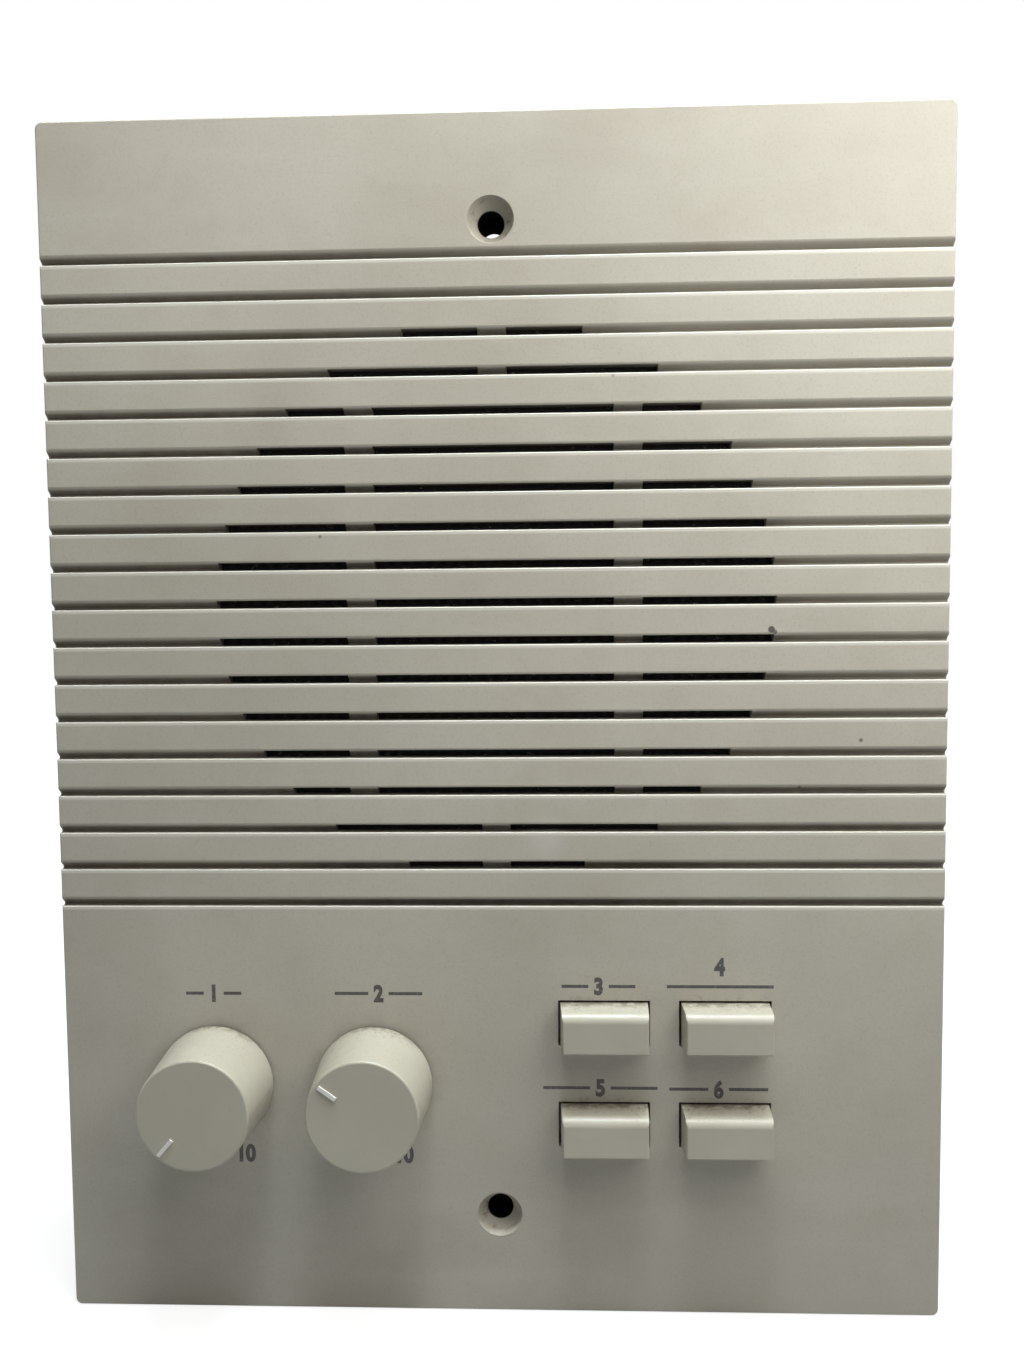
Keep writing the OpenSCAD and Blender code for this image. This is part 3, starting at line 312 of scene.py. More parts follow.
def weave(name, dark, light, spacing, dust=0.0):
    """Plain weave of two crossed waves, spacing millimetres from one to the next, with lint caught in it."""
    s = Shade(name, rough=0.85, spec=0.2)
    turns = 2 * math.pi / (WAVE_RATE * spacing * MM)
    warp = s.wave(turns)
    weft = s.wave(turns, turn=(0, math.pi / 2, 0))
    cross = s.math("MAXIMUM", warp, weft)
    base = s.mix(cross, dark, light)
    if dust:
        lint = s.both(s.step(s.noise(1300, 4, 0.8, stretch=(0.35, 1, 1)), 0.60, 0.70), dust)
        base = s.mix(lint, base, (0.30, 0.28, 0.25))
    s.colour(base)
    s.normal(s.bump(cross, 0.8, 0.12 * MM))
    return s.mat


def metal(name, colour, rough, tint, marks=900, brushed=(1, 1, 1), metallic=0.9):
    """Plated or bare metal: cloudy tint, fine scratches and uneven gloss."""
    s = Shade(name, rough=rough, metal=metallic, spec=0.5)
    cloud = s.step(s.noise(120, 4, 0.6), 0.35, 0.7)
    base = s.mix(s.both(cloud, 0.55), colour, tint)
    stain = s.both(s.step(s.noise(260, 5, 0.7, shift=(4, 2, 7)), 0.60, 0.74), 0.35)
    base = s.mix(stain, base, tuple(0.45 * c for c in tint))
    s.colour(base)
    fine = s.noise(marks, 3, 0.6, stretch=brushed)
    s.roughness(s.step(fine, 0.25, 0.75, rough - 0.08, rough + 0.14))
    s.normal(s.bump(fine, 0.15, 0.02 * MM, s.round_edges(0.1 * MM)))
    return s.mat


def paper():
    """Felted black cone paper with pressed rings and pale fibres."""
    s = Shade("cone_paper", rough=0.9, spec=0.15)
    fibres = s.noise(900, 5, 0.75, stretch=(1, 0.5, 1))
    base = s.mix(s.step(fibres, 0.45, 0.75), (0.022, 0.020, 0.018), (0.085, 0.078, 0.068))
    s.colour(base)
    dx = s.both(s.x, s.x)
    dz = s.math("SUBTRACT", s.z, SPEAKER_Z * MM)
    r = s.math("SQRT", s.math("ADD", dx, s.both(dz, dz)))
    rings = s.math("SINE", s.math("MULTIPLY", r, 2 * math.pi / (2.4 * MM)))
    s.normal(s.bump(s.math("ADD", fibres, s.both(rings, 0.12)), 0.5, 0.12 * MM))
    return s.mat


def moulded(name, colour, second, rough=0.45, grain=1500, spec=0.5):
    """A moulded or laminated piece with flow marks and a fine grain."""
    s = Shade(name, rough=rough, spec=spec)
    base = s.mix(s.step(s.noise(110, 4, 0.6), 0.35, 0.7), colour, second)
    pale = s.both(s.step(s.noise(850, 3, 0.7), 0.6, 0.75), 0.18)
    base = s.mix(pale, base, tuple(min(1, 1.8 * c + 0.02) for c in second))
    s.colour(base)
    s.roughness(s.step(s.noise(300, 3), 0.3, 0.7, rough - 0.07, rough + 0.1))
    s.normal(s.bump(s.noise(grain, 2), 0.2, 0.03 * MM, s.round_edges(0.12 * MM)))
    return s.mat


def laminate():
    """Brown paper laminate of the circuit board, with fibres along its length."""
    s = Shade("board_laminate", rough=0.42, spec=0.45)
    fibres = s.noise(1300, 3, 0.7, stretch=(0.6, 1, 1))
    base = s.mix(s.step(fibres, 0.35, 0.7), (0.245, 0.130, 0.046), (0.285, 0.158, 0.060))
    haze = s.both(s.step(s.noise(70, 3), 0.45, 0.75), 0.3)
    s.colour(s.mix(haze, base, (0.205, 0.105, 0.034)))
    s.normal(s.bump(fibres, 0.12, 0.03 * MM))
    return s.mat


def resistor_body():
    """Tan lacquer with colour rings set by the place along the body."""
    s = Shade("resistor_body", rough=0.32, spec=0.5)
    base = s.mix(s.noise(900, 3), (0.52, 0.38, 0.20), (0.62, 0.47, 0.27))
    for at, shade in ((-5.2, (0.30, 0.10, 0.03)), (-3.6, (0.02, 0.02, 0.02)), (-2.0, (0.55, 0.12, 0.03)),
                      (1.2, (0.55, 0.38, 0.08))):
        near = s.step(s.math("ABSOLUTE", s.math("SUBTRACT", s.x, at * MM)), 0.40 * MM, 0.46 * MM, 1, 0)
        base = s.mix(near, base, shade)
    wire = s.step(s.math("ABSOLUTE", s.math("ADD", s.x, 2 * MM)), 4.45 * MM, 4.52 * MM)
    base = s.mix(wire, base, (0.62, 0.60, 0.55))
    s.colour(base)
    s.put(s.both(wire, 0.85), s.bsdf.inputs["Metallic"])
    s.normal(s.bump(s.noise(1800, 2), 0.1, 0.02 * MM))
    return s.mat


def capacitor_sleeve():
    """Shrunk vinyl sleeve with a bare top."""
    s = Shade("capacitor_sleeve", rough=0.28, spec=0.5)
    base = s.mix(s.noise(300, 3), (0.020, 0.032, 0.110), (0.032, 0.048, 0.150))
    top = s.step(s.y, -5.85 * MM, -5.7 * MM, 1, 0)
    s.colour(s.mix(top, base, (0.45, 0.45, 0.44)))
    s.normal(s.bump(s.noise(700, 3), 0.15, 0.04 * MM))
    return s.mat


def foam():
    """Dense dark foam of the speaker's gasket, with open cells."""
    s = Shade("gasket_foam", rough=0.95, spec=0.1)
    pores = s.cells(1500)
    s.colour(s.mix(s.step(pores, 0.15, 0.6), (0.012, 0.012, 0.012), (0.060, 0.057, 0.052)))
    s.normal(s.bump(pores, 0.9, 0.2 * MM))
    return s.mat


def ink():
    """Dark grey screen print, a little worn."""
    s = Shade("print_ink", rough=0.5, spec=0.35)
    s.colour(s.mix(s.step(s.noise(1600, 4, 0.8), 0.50, 0.72), (0.070, 0.067, 0.065), (0.165, 0.155, 0.142)))
    s.normal(s.bump(s.noise(2600, 2), 0.15, 0.03 * MM))
    return s.mat


PLATE = plate_plastic()
CONTROL = control_plastic()
ZINC = metal("zinc_plate", (0.40, 0.40, 0.385), 0.38, (0.42, 0.385, 0.29))
FRAME_STEEL = metal("frame_steel", (0.30, 0.305, 0.305), 0.50, (0.33, 0.31, 0.25), marks=500)
TURNED = metal("turned_steel", (0.45, 0.45, 0.435), 0.28, (0.55, 0.54, 0.50), marks=700, brushed=(1, 4, 1))
COPPER = metal("enamelled_copper", (0.62, 0.27, 0.11), 0.35, (0.50, 0.20, 0.08), marks=1400)
BRASS = metal("tinned_brass", (0.66, 0.60, 0.44), 0.33, (0.60, 0.50, 0.28), marks=1100)
SOLDER = metal("solder", (0.62, 0.62, 0.62), 0.26, (0.50, 0.50, 0.49), marks=900)
TRACK = metal("tinned_track", (0.52, 0.50, 0.44), 0.36, (0.50, 0.42, 0.28), marks=600)
WIRE = metal("spring_wire", (0.60, 0.60, 0.60), 0.24, (0.52, 0.51, 0.48), marks=1600)
FERRITE = moulded("ferrite", (0.045, 0.045, 0.048), (0.075, 0.075, 0.078), rough=0.55, grain=900, spec=0.4)
PAPER = paper()
CLOTH = weave("grille_weave", (0.014, 0.013, 0.012), (0.030, 0.029, 0.027), 0.84 * math.pi, dust=0.6)
SPIDER = weave("spider_weave", (0.20, 0.12, 0.03), (0.55, 0.38, 0.13), 1.2 * math.pi)
FOAM = foam()
LAMINATE = laminate()
PHENOLIC = moulded("black_phenolic", (0.018, 0.018, 0.020), (0.034, 0.033, 0.033), rough=0.38)
NYLON = moulded("natural_nylon", (0.60, 0.575, 0.48), (0.68, 0.655, 0.57), rough=0.4)
RESISTOR = resistor_body()
SLEEVE = capacitor_sleeve()
BLACK_VINYL = moulded("black_vinyl", (0.012, 0.012, 0.013), (0.022, 0.022, 0.024), rough=0.35, grain=2200)
RED_VINYL = moulded("red_vinyl", (0.34, 0.020, 0.014), (0.42, 0.030, 0.020), rough=0.35, grain=2200)
INK = ink()

DRESS = {
    "faceplate": PLATE,
    "speaker_basket": FRAME_STEEL,
    "speaker_gasket": FOAM,
    "speaker_cone": PAPER,
    "dust_cap": PAPER,
    "voice_coil": COPPER,
    "top_plate": ZINC,
    "magnet": FERRITE,
    "yoke": ZINC,
    "terminal_strip": LAMINATE,
    "solder_lugs": BRASS,
    "speaker_screws": ZINC,
    "circuit_board": LAMINATE,
    "board_screws": ZINC,
    "music_pot": TURNED,
    "intercom_pot": TURNED,
    "music_shaft": TURNED,
    "intercom_shaft": TURNED,
    "pot_washers": ZINC,
    "pot_nuts": BRASS,
    "music_knob": CONTROL,
    "intercom_knob": CONTROL,
    "terminal_block": PHENOLIC,
    "terminal_screws": ZINC,
    "resistors": RESISTOR,
    "capacitors": SLEEVE,
}
for name in BUTTONS:
    DRESS[name + "_switch"] = PHENOLIC
    DRESS[name + "_plunger"] = NYLON
    DRESS[name + "_cap"] = CONTROL
for name, material in DRESS.items():
    nodes[name].data.materials.clear()
    nodes[name].data.materials.append(material)


# ---------------------------------------------------------------- mesh pieces
def piece(name, verts, faces, material, body, slot, sharp=35, replaces=()):
    """A mesh in the row frame, from points in millimetres, fixed to its body if it has one."""
    mesh = bpy.data.meshes.new(name)
    mesh.from_pydata([Vector(v) * MM for v in verts], [], faces)
    mesh.validate()
    mesh.shade_smooth()
    mesh.set_sharp_from_angle(angle=math.radians(sharp))
    mesh.materials.append(material)
    ob = bpy.data.objects.new(name, mesh)
    bpy.context.scene.collection.objects.link(ob)
    if body:
        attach(ob, body)
    if replaces:
        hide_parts(*replaces)
    return ob


class Shell:
    """Collects the points and faces of one piece."""

    def __init__(self):
        self.verts, self.faces = [], []

    def add(self, verts, faces):
        n = len(self.verts)
        self.verts += [tuple(v) for v in verts]
        self.faces += [tuple(n + i for i in f) for f in faces]

    def tube(self, path, radius, sides=12):
        """A round tube with closed ends along points; radius may be a list."""
        path = [Vector(p) for p in path]
        n = len(path)
        across = None
        verts = []
        for i, p in enumerate(path):
            t = (path[min(i + 1, n - 1)] - path[max(i - 1, 0)]).normalized()
            if across is None:
                across = t.orthogonal().normalized()
            across = (across - t * across.dot(t)).normalized()
            other = t.cross(across)
            r = radius[i] if isinstance(radius, list) else radius
            for k in range(sides):
                a = 2 * math.pi * k / sides
                verts.append(p + (across * math.cos(a) + other * math.sin(a)) * r)
        faces = [(i * sides + k, i * sides + (k + 1) % sides,
                  (i + 1) * sides + (k + 1) % sides, (i + 1) * sides + k)
                 for i in range(n - 1) for k in range(sides)]
        faces.append(tuple(range(sides - 1, -1, -1)))
        faces.append(tuple((n - 1) * sides + k for k in range(sides)))
        self.add(verts, faces)

    def turned(self, profile, x=0.0, z=SPEAKER_Z, steps=96):
        """A closed (radius, depth) profile turned about an axis into the wall."""
        n = len(profile)
        verts = [(x + r * math.cos(2 * math.pi * k / steps), y, z + r * math.sin(2 * math.pi * k / steps))
                 for k in range(steps) for r, y in profile]
        faces = [(k * n + i, k * n + (i + 1) % n,
                  ((k + 1) % steps) * n + (i + 1) % n, ((k + 1) % steps) * n + i)
                 for k in range(steps) for i in range(n)]
        self.add(verts, faces)

    def dome(self, x, y, z, radius, height, sides=14, rings=4):
        """A solder fillet: a low dome on the plane y, which rises along +Y."""
        verts = []
        for j in range(rings):
            a = 0.5 * math.pi * j / rings
            r = radius * math.cos(a) ** 1.4
            verts += [(x + r * math.cos(2 * math.pi * k / sides), y + height * math.sin(a),
                       z + r * math.sin(2 * math.pi * k / sides)) for k in range(sides)]
        verts.append((x, y + height, z))
        faces = [(j * sides + k, (j + 1) * sides + k,
                  (j + 1) * sides + (k + 1) % sides, j * sides + (k + 1) % sides)
                 for j in range(rings - 1) for k in range(sides)]
        last = (rings - 1) * sides
        faces += [(last + k, len(verts) - 1, last + (k + 1) % sides) for k in range(sides)]
        faces.append(tuple(range(sides)))
        self.add(verts, faces)

    def made(self, name, material, body, slot, **rest):
        return piece(name, self.verts, self.faces, material, body, slot, **rest)


def smooth(points, steps):
    """Points of a smooth line through the given ones, as in the part's source."""
    p = [Vector(q) for q in points]
    out = []
    for i in range(len(p) - 1):
        a, b, c, d = p[max(i - 1, 0)], p[i], p[i + 1], p[min(i + 2, len(p) - 1)]
        for k in range(steps):
            t = k / steps
            out.append(0.5 * (2 * b + (c - a) * t + (2 * a - 5 * b + 4 * c - d) * t * t
                              + (3 * b - a - 3 * c + d) * t ** 3))
    return out + [p[-1]]


def thick(line, t):
    """Closed outline of a sheet of thickness t along a line of (radius, depth) points."""
    p = [Vector(q) for q in line]
    normals = []
    for i in range(len(p)):
        d = (p[min(i + 1, len(p) - 1)] - p[max(i - 1, 0)]).normalized()
        normals.append(Vector((-d.y, d.x)))
    one = [q + n * t / 2 for q, n in zip(p, normals)]
    two = [q - n * t / 2 for q, n in zip(p, normals)]
    return [(q.x, q.y) for q in one + two[::-1]]


# Grille cloth: a glued rim and a slightly slack middle
rings, spokes = 36, 120
cloth_front, cloth_back, slack = -12.92, -12.62, 0.10
cloth_verts, cloth_faces = [], []
rng = random.Random(7)
for depth in (cloth_front, cloth_back):
    for j in range(rings + 1):
        r = CLOTH_R * j / rings
        for k in range(spokes):
            a = 2 * math.pi * k / spokes
            sag = slack * (1 - (r / CLOTH_R) ** 2) * (1 + 0.4 * math.sin(3 * a + 0.5))
            cloth_verts.append((r * math.cos(a), depth + sag, SPEAKER_Z + r * math.sin(a)))
half = (rings + 1) * spokes
for j in range(rings):
    for k in range(spokes):
        a, b = j * spokes + k, j * spokes + (k + 1) % spokes
        cloth_faces.append((a, b, b + spokes, a + spokes))
        cloth_faces.append((half + a + spokes, half + b + spokes, half + b, half + a))
for k in range(spokes):
    a, b = rings * spokes + k, rings * spokes + (k + 1) % spokes
    cloth_faces.append((a, b, half + b, half + a))
cloth = piece("grille_fabric", cloth_verts, cloth_faces, CLOTH, "unit", "grille_cloth",
              replaces=["grille_cloth"])

# Pleated edge of the cone, and the corrugated disc that centres the coil
edge = Shell()
mid = -8.0
line = [(49.4, mid), (51.1, mid)]
line += [(51.1 + 5.0 * k / 48, mid - 0.45 * (1 - math.cos(4 * math.pi * k / 48))) for k in range(1, 49)]
line += [(58.5, mid), (60.9, mid)]
edge.turned(thick(line, 0.38), steps=128)
edge.made("cone_edge", PAPER, "unit", "cone_paper", replaces=["cone_surround"])
disc = Shell()
mid = 14.4
line = [(9.95, mid), (11.9, mid)]
line += [(11.9 + 19.1 * k / 96, mid - 0.55 * (1 - math.cos(8 * math.pi * k / 96))) for k in range(1, 97)]
line += [(33.5, mid), (35.9, mid)]
disc.turned(thick(line, 0.36), steps=128)
disc.made("spider_disc", SPIDER, "unit", "spider_cloth", replaces=["spider"])

# Return springs of the buttons
for name, (x, z) in BUTTONS.items():
    y0, y1, r, wire, turns, per = -10.85, -5.0, 2.847, 0.45, 5, 28
    rise = y1 - y0 - 2 * wire
    path = [(x + r, y0, z), (x + r, y0 + wire * 0.5, z)]
    path += [(x + r * math.cos(2 * math.pi * k / per), y0 + wire + rise * k / (per * turns),
              z + r * math.sin(2 * math.pi * k / per)) for k in range(per * turns + 1)]
    path += [(x + r, y1 - wire * 0.5, z), (x + r, y1, z)]
    coil = Shell()
    coil.tube(path, wire / 2, 12)
    ob = coil.made(name + "_coil", WIRE, "unit", "spring_steel", replaces=[name + "_spring"])
    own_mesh(ob)

# Flexible leads to the cone: two strands twisted round each other
tinsel = Shell()
foot, rivet_y, strand_r, per_twist = SPEAKER_Z - 44, 15.1, 0.19, 9
for s in (-1, 1):
    route = smooth([(10 * s, rivet_y, foot), (11.5 * s, 11.6, foot + 0.5), (13 * s, 7.6, foot + 3),
                    (13.4 * s, 4.1, foot + 7), (12.5 * s, 1.59, foot + 11),
                    (11 * s, 0.45, foot + 14.5)], 14)
    for strand in (0, 1):
        path = []
        for i, p in enumerate(route):
            t = (route[min(i + 1, len(route) - 1)] - route[max(i - 1, 0)]).normalized()
            u = (Vector((1, 0, 0)) - t * t.x).normalized()
            a = 2 * math.pi * i / per_twist + math.pi * strand
            path.append(p + (u * math.cos(a) + t.cross(u) * math.sin(a)) * strand_r)
        tinsel.tube(path, strand_r, 8)
strands = tinsel.made("tinsel_strands", COPPER, None, "braid_copper", replaces=["tinsel_leads"])
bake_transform(strands)

# Speaker leads: insulation, bare ends and solder
tips = Shell()
lead_pad_z, lug_y, lug_z, vinyl_r, core_r = -54.5, 17.05, SPEAKER_Z - 52.8, 0.7, 0.32
for x0, x1, vinyl, label in ((-9.0, -10.0, BLACK_VINYL, "black"), (-4.0, 10.0, RED_VINYL, "red")):
    z0, y1, z1 = lead_pad_z, lug_y, lug_z
    route = smooth([(x0, BOARD_BACK, z0), (x0, BOARD_BACK + 4, z0), (x0, BOARD_BACK + 9, z0 + 2),
                    ((x0 + x1) / 2, y1 + 8, (z0 + z1) / 2), (x1, y1 + 7, z1 - 4), (x1, y1 + 3.5, z1),
                    (x1, y1, z1)], 12)
    lead = Shell()
    lead.tube(route[5:-7], vinyl_r, 16)
    lead.made("speaker_lead_" + label, vinyl, "unit", "lead_insulation", replaces=["speaker_leads"])
    tips.tube(route[:7], core_r, 10)
    tips.tube(route[-9:], core_r, 10)
    tips.dome(x1, y1 + 0.25, z1, 1.5, 0.9)
tips.made("lead_tips", SOLDER, "unit", "lug_brass")

# Solder joints and tracks on the back of the board
PINS = [(x + k * 5, KNOB_Z - 7) for x in (MUSIC_X, INTERCOM_X) for k in (-1, 0, 1)]
PINS += [(x + s * 3, z + k * 4) for x, z in BUTTONS.values() for s in (-1, 1) for k in (-1, 0, 1)]
RESISTORS = [(-2, KNOB_Z + d) for d in (12, 7, 2, -3)]
PINS += [(x + s * 6.5, z) for x, z in RESISTORS for s in (-1, 1)]
PINS += [(x + s * 1.75, KNOB_Z - 12) for x in (-8, 4) for s in (-1, 1)]
PADS = PINS + [(-9.0, lead_pad_z), (-4.0, lead_pad_z)]
joints = Shell()
for x, z in PADS:
    joints.dome(x, BOARD_BACK, z, rng.uniform(1.05, 1.3), rng.uniform(1.15, 1.35))
joints.made("solder_joints", SOLDER, "unit", "lug_brass")

# Pins of the terminal block (B), the left volume control (M) and the right one (N)
B = [(MUSIC_X + 16 + (k - 2.5) * 7.5, KNOB_Z + 4) for k in range(6)]
M = [(MUSIC_X + k * 5, KNOB_Z - 7) for k in (-1, 0, 1)]
N = [(INTERCOM_X + k * 5, KNOB_Z - 7) for k in (-1, 0, 1)]


def pin(name, side, row):
    """Pin of a button's switch: side -1 or 1 across, row -1 to 1 upwards."""
    x, z = BUTTONS[name]
    return (x + side * 3, z + row * 4)


TRACKS = [
    [B[0], (B[0][0], -77.4), M[0]],
    [B[1], (B[1][0], -77.4), M[2]],
    [M[1], (MUSIC_X, -84.6), (MUSIC_X + 2.4, -87.0), (-11.4, -87.0), (-9.75, -85.4)],
    [B[2], (B[2][0], -79.6), (-43.1, -83.5), (-33.9, -83.5), N[0]],
    [B[3], (B[3][0], -61.0), (-36.0, -57.5), (-12.0, -57.5), (-9.0, -54.5)],
    [B[4], (B[4][0], -62.6), (-30.0, -60.5), (-9.4, -60.5), (-8.5, -61.4)],
    [B[5], (B[5][0], -66.2), (-22.4, -64.0), (-10.9, -64.0), (-8.5, -66.4)],
    [N[1], (-25.8, -77.0), (-20.2, -71.4), (-8.5, -71.4)],
    [N[2], (-16.8, -76.4), (-8.5, -76.4)],
    [(4.5, -61.4), (11.0, -61.4), (11.9, -60.5), pin("privacy", -1, 0)],
    [(4.5, -66.4), (12.0, -66.4), (13.9, -64.5), pin("privacy", -1, -1)],
    [(4.5, -71.4), (12.3, -71.4), pin("listen", -1, 1)],
    [(4.5, -76.4), (10.9, -76.4), (16.35, -81.85), pin("listen", -1, 0)],
    [(-6.25, -85.4), (-4.2, -87.45), (0.2, -87.45), (2.25, -85.4)],
    [(5.75, -85.4), (15.0, -85.4), pin("listen", -1, -1)],
    [(-4.0, -54.5), (-2.0, -52.5), (14.75, -52.5), pin("privacy", -1, 1)],
    [pin("door", 1, 1), (55.0, -56.5), (57.6, -59.1), (57.6, -83.2), (54.95, -85.85), pin("talk", 1, -1)],
    [pin("door", 1, 0), (52.0, -60.5), (53.6, -62.1), (53.6, -80.2), (51.95, -81.85), pin("talk", 1, 0)],
    [pin("door", 1, -1), pin("talk", 1, 1)],
]
TRACKS += [[pin(a, 1, row), pin(b, -1, row)]
           for a, b in (("privacy", "door"), ("listen", "talk")) for row in (-1, 0, 1)]
tracks = Shell()


def strip(shell, path, width, y0, y1):
    """A flat strip along a path of (x, z) points, mitred at its corners."""
    p = [Vector(q) for q in path]
    left = []
    for i in range(len(p)):
        a = (p[max(i, 1)] - p[max(i, 1) - 1]).normalized()
        b = (p[min(i, len(p) - 2) + 1] - p[min(i, len(p) - 2)]).normalized()
        n = (Vector((-a.y, a.x)) + Vector((-b.y, b.x))).normalized()
        left.append(n * (width / 2 / max(0.4, n.dot(Vector((-a.y, a.x))))))
    verts = []
    for q, n in zip(p, left):
        verts += [(q.x + n.x, y, q.y + n.y) for y in (y0, y1)] + [(q.x - n.x, y, q.y - n.y) for y in (y1, y0)]
    faces = [(4 * i + k, 4 * i + (k + 1) % 4, 4 * i + 4 + (k + 1) % 4, 4 * i + 4 + k)
             for i in range(len(p) - 1) for k in range(4)]
    faces += [(3, 2, 1, 0), tuple(4 * (len(p) - 1) + k for k in range(4))]
    shell.add(verts, faces)


for path in TRACKS:
    strip(tracks, path, 1.5, BOARD_BACK - 0.01, BOARD_BACK + 0.06)
for x, z in PADS:
    tracks.dome(x, BOARD_BACK - 0.01, z, 1.65, 0.09, sides=20, rings=2)
tracks.made("board_tracks", TRACK, "unit", "lug_brass")


# ---------------------------------------------------------------- printed marks
# How far the print stands out of the plate
INK_T = 0.012


def numeral(text, x, z, height, squeeze=0.82):
    """A plain printed number centred at (x, z) on the front, in millimetres."""
    curve = bpy.data.curves.new("mark", "FONT")
    curve.body = text
    curve.align_x = "CENTER"
    curve.align_y = "CENTER"
    curve.size = height * MM / 0.70
    curve.offset = 0.075 * height * MM
    curve.resolution_u = 6
    ob = bpy.data.objects.new("mark", curve)
    bpy.context.scene.collection.objects.link(ob)
    bpy.context.view_layer.update()
    mesh = bpy.data.meshes.new_from_object(ob.evaluated_get(bpy.context.evaluated_depsgraph_get()))
    bpy.data.objects.remove(ob)
    lo = [min(v.co[i] for v in mesh.vertices) for i in (0, 1)]
    hi = [max(v.co[i] for v in mesh.vertices) for i in (0, 1)]
    verts = [((v.co.x - (lo[0] + hi[0]) / 2) * squeeze / MM + x, FRONT - INK_T,
              (v.co.y - (lo[1] + hi[1]) / 2) / MM + z) for v in mesh.vertices]
    faces = [tuple(p.vertices) for p in mesh.polygons]
    bpy.data.meshes.remove(mesh)
    return verts, faces


marks = Shell()


def rule(x0, x1, z, width=0.65):
    """A printed rule from x0 to x1, which dips just under the plate's face."""
    strip(marks, [(x0, z), (x1, z)], width, FRONT - INK_T, FRONT + 0.004)


def number_between(text, x0, x1, z, height=3.3):
    """A number with a short rule on each side, as wide as from x0 to x1."""
    mid = (x0 + x1) / 2
    marks.add(*numeral(text, mid, z, height))
    room = 2.1 if len(text) == 1 else 3.3
    rule(x0, mid - room, z)
    rule(mid + room, x1, z)


number_between("1", -64.9, -53.3, -54.4)
number_between("2", -33.8, -15.6, -54.35)
number_between("3", 13.1, 28.2, -52.7)
marks.add(*numeral("4", 45.3, -48.6, 3.4))
rule(34.6, 56.3, -52.7)
number_between("5", 9.2, 32.7, -74.05)
number_between("6", 35.1, 55.3, -74.2)
for x in (MUSIC_X, INTERCOM_X):
    marks.add(*numeral("0", x - 7.0, -88.5, 3.4))
    marks.add(*numeral("10", x + 6.2, -88.5, 3.4))
marks.made("printed_marks", INK, "unit", "plate_plastic", sharp=30)


# ---------------------------------------------------------------- stage, light, camera
def background_rays(t):
    """1 for the rays that see the background white: from the camera, a glossy face or glass."""
    path = t.nodes.new("ShaderNodeLightPath")
    seen = path.outputs["Is Camera Ray"]
    for kind in ("Is Glossy Ray", "Is Transmission Ray"):
        n = t.nodes.new("ShaderNodeMath")
        n.operation = "MAXIMUM"
        t.links.new(seen, n.inputs[0])
        t.links.new(path.outputs[kind], n.inputs[1])
        seen = n.outputs[0]
    return seen


def plain(name, colour, rough):
    """Pale stage material: shadows stay visible, and the camera sees it as white where nothing shades it."""
    m = bpy.data.materials.new(name)
    m.use_nodes = True
    t = m.node_tree
    t.nodes.clear()
    out = t.nodes.new("ShaderNodeOutputMaterial")
    diffuse = t.nodes.new("ShaderNodeBsdfDiffuse")
    diffuse.inputs["Color"].default_value = (*colour, 1)
    diffuse.inputs["Roughness"].default_value = rough
    glow = t.nodes.new("ShaderNodeEmission")
    place = t.nodes.new("ShaderNodeTexCoord")
    far = t.nodes.new("ShaderNodeVectorMath")
    far.operation = "LENGTH"
    t.links.new(place.outputs["Object"], far.inputs[0])
    fade = t.nodes.new("ShaderNodeMapRange")
    # Metres from the part at which the glow starts and stops to rise, and its strength there
    for socket, v in zip(list(fade.inputs)[1:5], (0.35, 1.1, 0.80, 1.0)):
        socket.default_value = v
    t.links.new(far.outputs["Value"], fade.inputs[0])
    t.links.new(fade.outputs[0], glow.inputs["Strength"])
    both = t.nodes.new("ShaderNodeAddShader")
    t.links.new(diffuse.outputs[0], both.inputs[0])
    t.links.new(glow.outputs[0], both.inputs[1])
    pick = t.nodes.new("ShaderNodeMixShader")
    t.links.new(background_rays(t), pick.inputs[0])
    t.links.new(diffuse.outputs[0], pick.inputs[1])
    t.links.new(both.outputs[0], pick.inputs[2])
    t.links.new(pick.outputs[0], out.inputs[0])
    return m


floor_mesh = bpy.data.meshes.new("floor")
reach = 3
floor_mesh.from_pydata([(-reach, -reach, 0), (reach, -reach, 0), (reach, reach, 0), (-reach, reach, 0)],
                       [], [(0, 1, 2, 3)])
floor_mesh.materials.append(plain("pale_floor", (0.33, 0.33, 0.327), 0.6))
floor = bpy.data.objects.new("floor", floor_mesh)
floor.location = (0, 0, -(HALF_H + 0.2) * MM)
bpy.context.scene.collection.objects.link(floor)

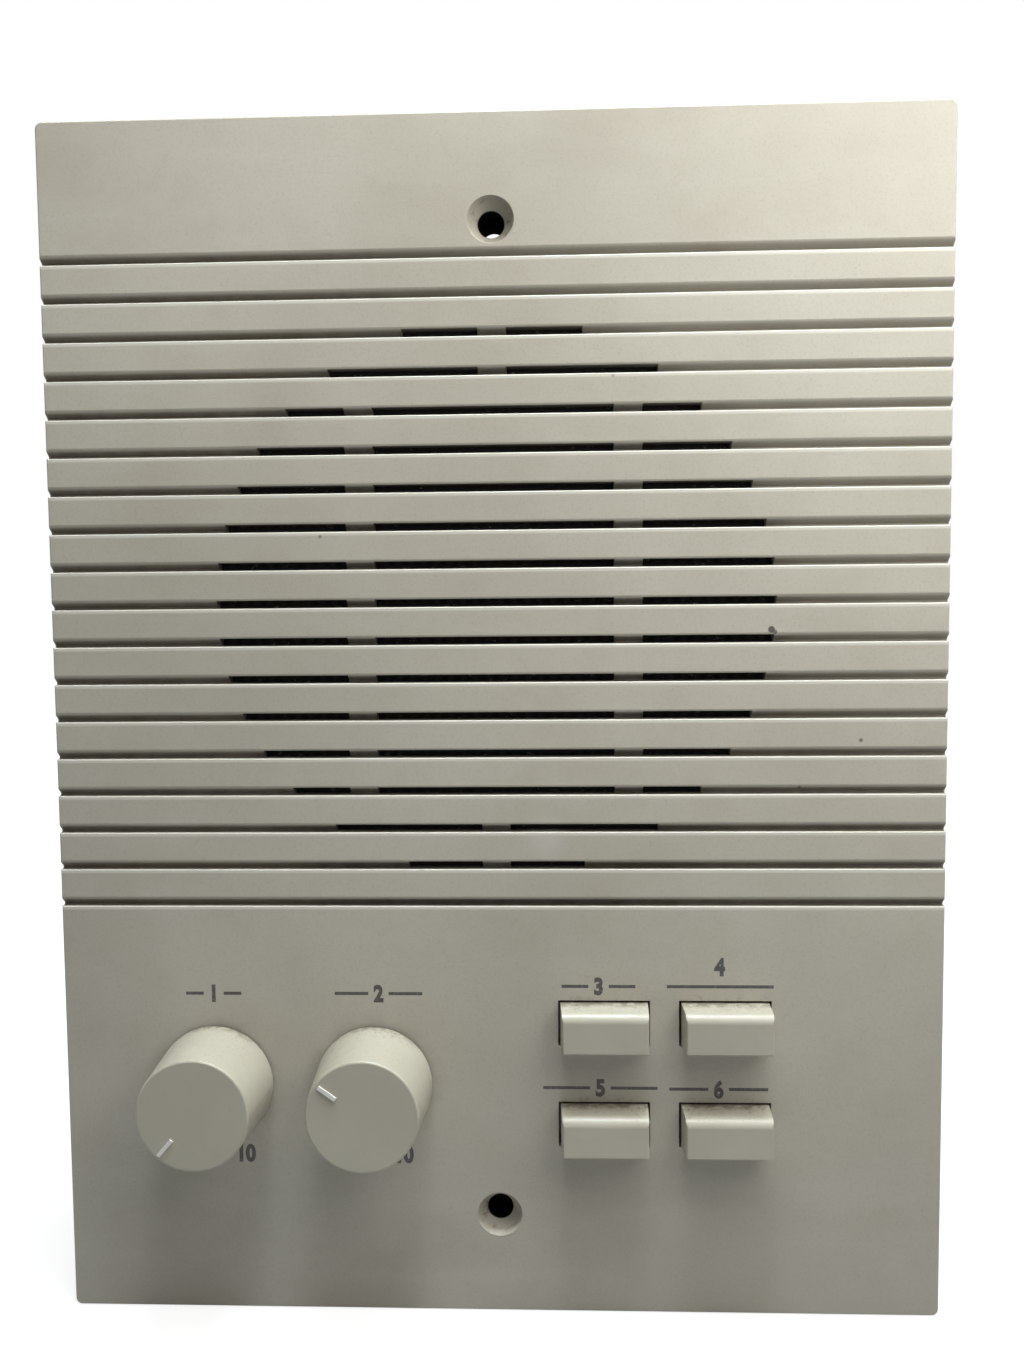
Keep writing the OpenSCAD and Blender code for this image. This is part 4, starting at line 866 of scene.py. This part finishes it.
world = bpy.data.worlds.new("studio")
bpy.context.scene.world = world
world.use_nodes = True
t = world.node_tree
t.nodes.clear()
out = t.nodes.new("ShaderNodeOutputWorld")
soft = t.nodes.new("ShaderNodeBackground")
soft.inputs["Color"].default_value = (0.96, 0.98, 1.0, 1)
soft.inputs["Strength"].default_value = 0.055
white = t.nodes.new("ShaderNodeBackground")
white.inputs["Color"].default_value = (1, 1, 1, 1)
white.inputs["Strength"].default_value = 1.0
pick = t.nodes.new("ShaderNodeMixShader")
t.links.new(background_rays(t), pick.inputs[0])
t.links.new(soft.outputs[0], pick.inputs[1])
t.links.new(white.outputs[0], pick.inputs[2])
t.links.new(pick.outputs[0], out.inputs[0])


def lamp(name, place, aim, size, watts, colour=(1, 1, 1)):
    """A rectangular area lamp at a place, turned towards its aim."""
    light = bpy.data.lights.new(name, "AREA")
    light.shape = "RECTANGLE"
    light.size, light.size_y = size
    light.energy = watts
    light.color = colour
    ob = bpy.data.objects.new(name, light)
    ob.location = place
    ob.rotation_euler = (Vector(aim) - Vector(place)).to_track_quat("-Z", "Y").to_euler()
    bpy.context.scene.collection.objects.link(ob)


lamp("key", (0.05, -0.12, 0.36), (0.0, -0.016, 0.06), (0.36, 0.20), 1.17, (0.99, 0.98, 0.975))
lamp("side", (0.17, -0.14, 0.17), (0.03, -0.016, 0.09), (0.20, 0.20), 0.56, (0.99, 0.99, 0.95))
lamp("top", (0.06, -0.09, 0.75), (0.0, -0.03, 0.0), (0.25, 0.12), 6.4, (0.82, 0.93, 1.0))
lamp("front", (-0.20, -0.90, 0.20), (0, 0, 0), (0.9, 0.9), 0.12, (0.98, 0.99, 1.0))
lamp("back", (-0.35, 0.80, 0.60), (0, 0.01, 0.0), (0.7, 0.7), 4.2)
lamp("back_low", (0.60, 0.75, 0.05), (0, 0.01, 0.0), (0.6, 0.6), 2.5)

# The fitted camera: its focal length in pixels of a picture this high
FOCAL_PX, PICTURE_H, SENSOR_MM = 1066, 1366, 36
camera_data = bpy.data.cameras.new("camera")
camera_data.sensor_fit = "VERTICAL"
camera_data.sensor_height = SENSOR_MM
camera_data.lens = FOCAL_PX * SENSOR_MM / PICTURE_H
camera_data.clip_start = 0.01
camera = bpy.data.objects.new("camera", camera_data)
camera.location = (0.01110, -0.23068, 0.02309)
camera.rotation_euler = Euler([math.radians(a) for a in (86.441, 0.514, 2.002)], "XYZ")
bpy.context.scene.collection.objects.link(camera)
bpy.context.scene.camera = camera

bpy.context.scene.view_settings.view_transform = "Standard"
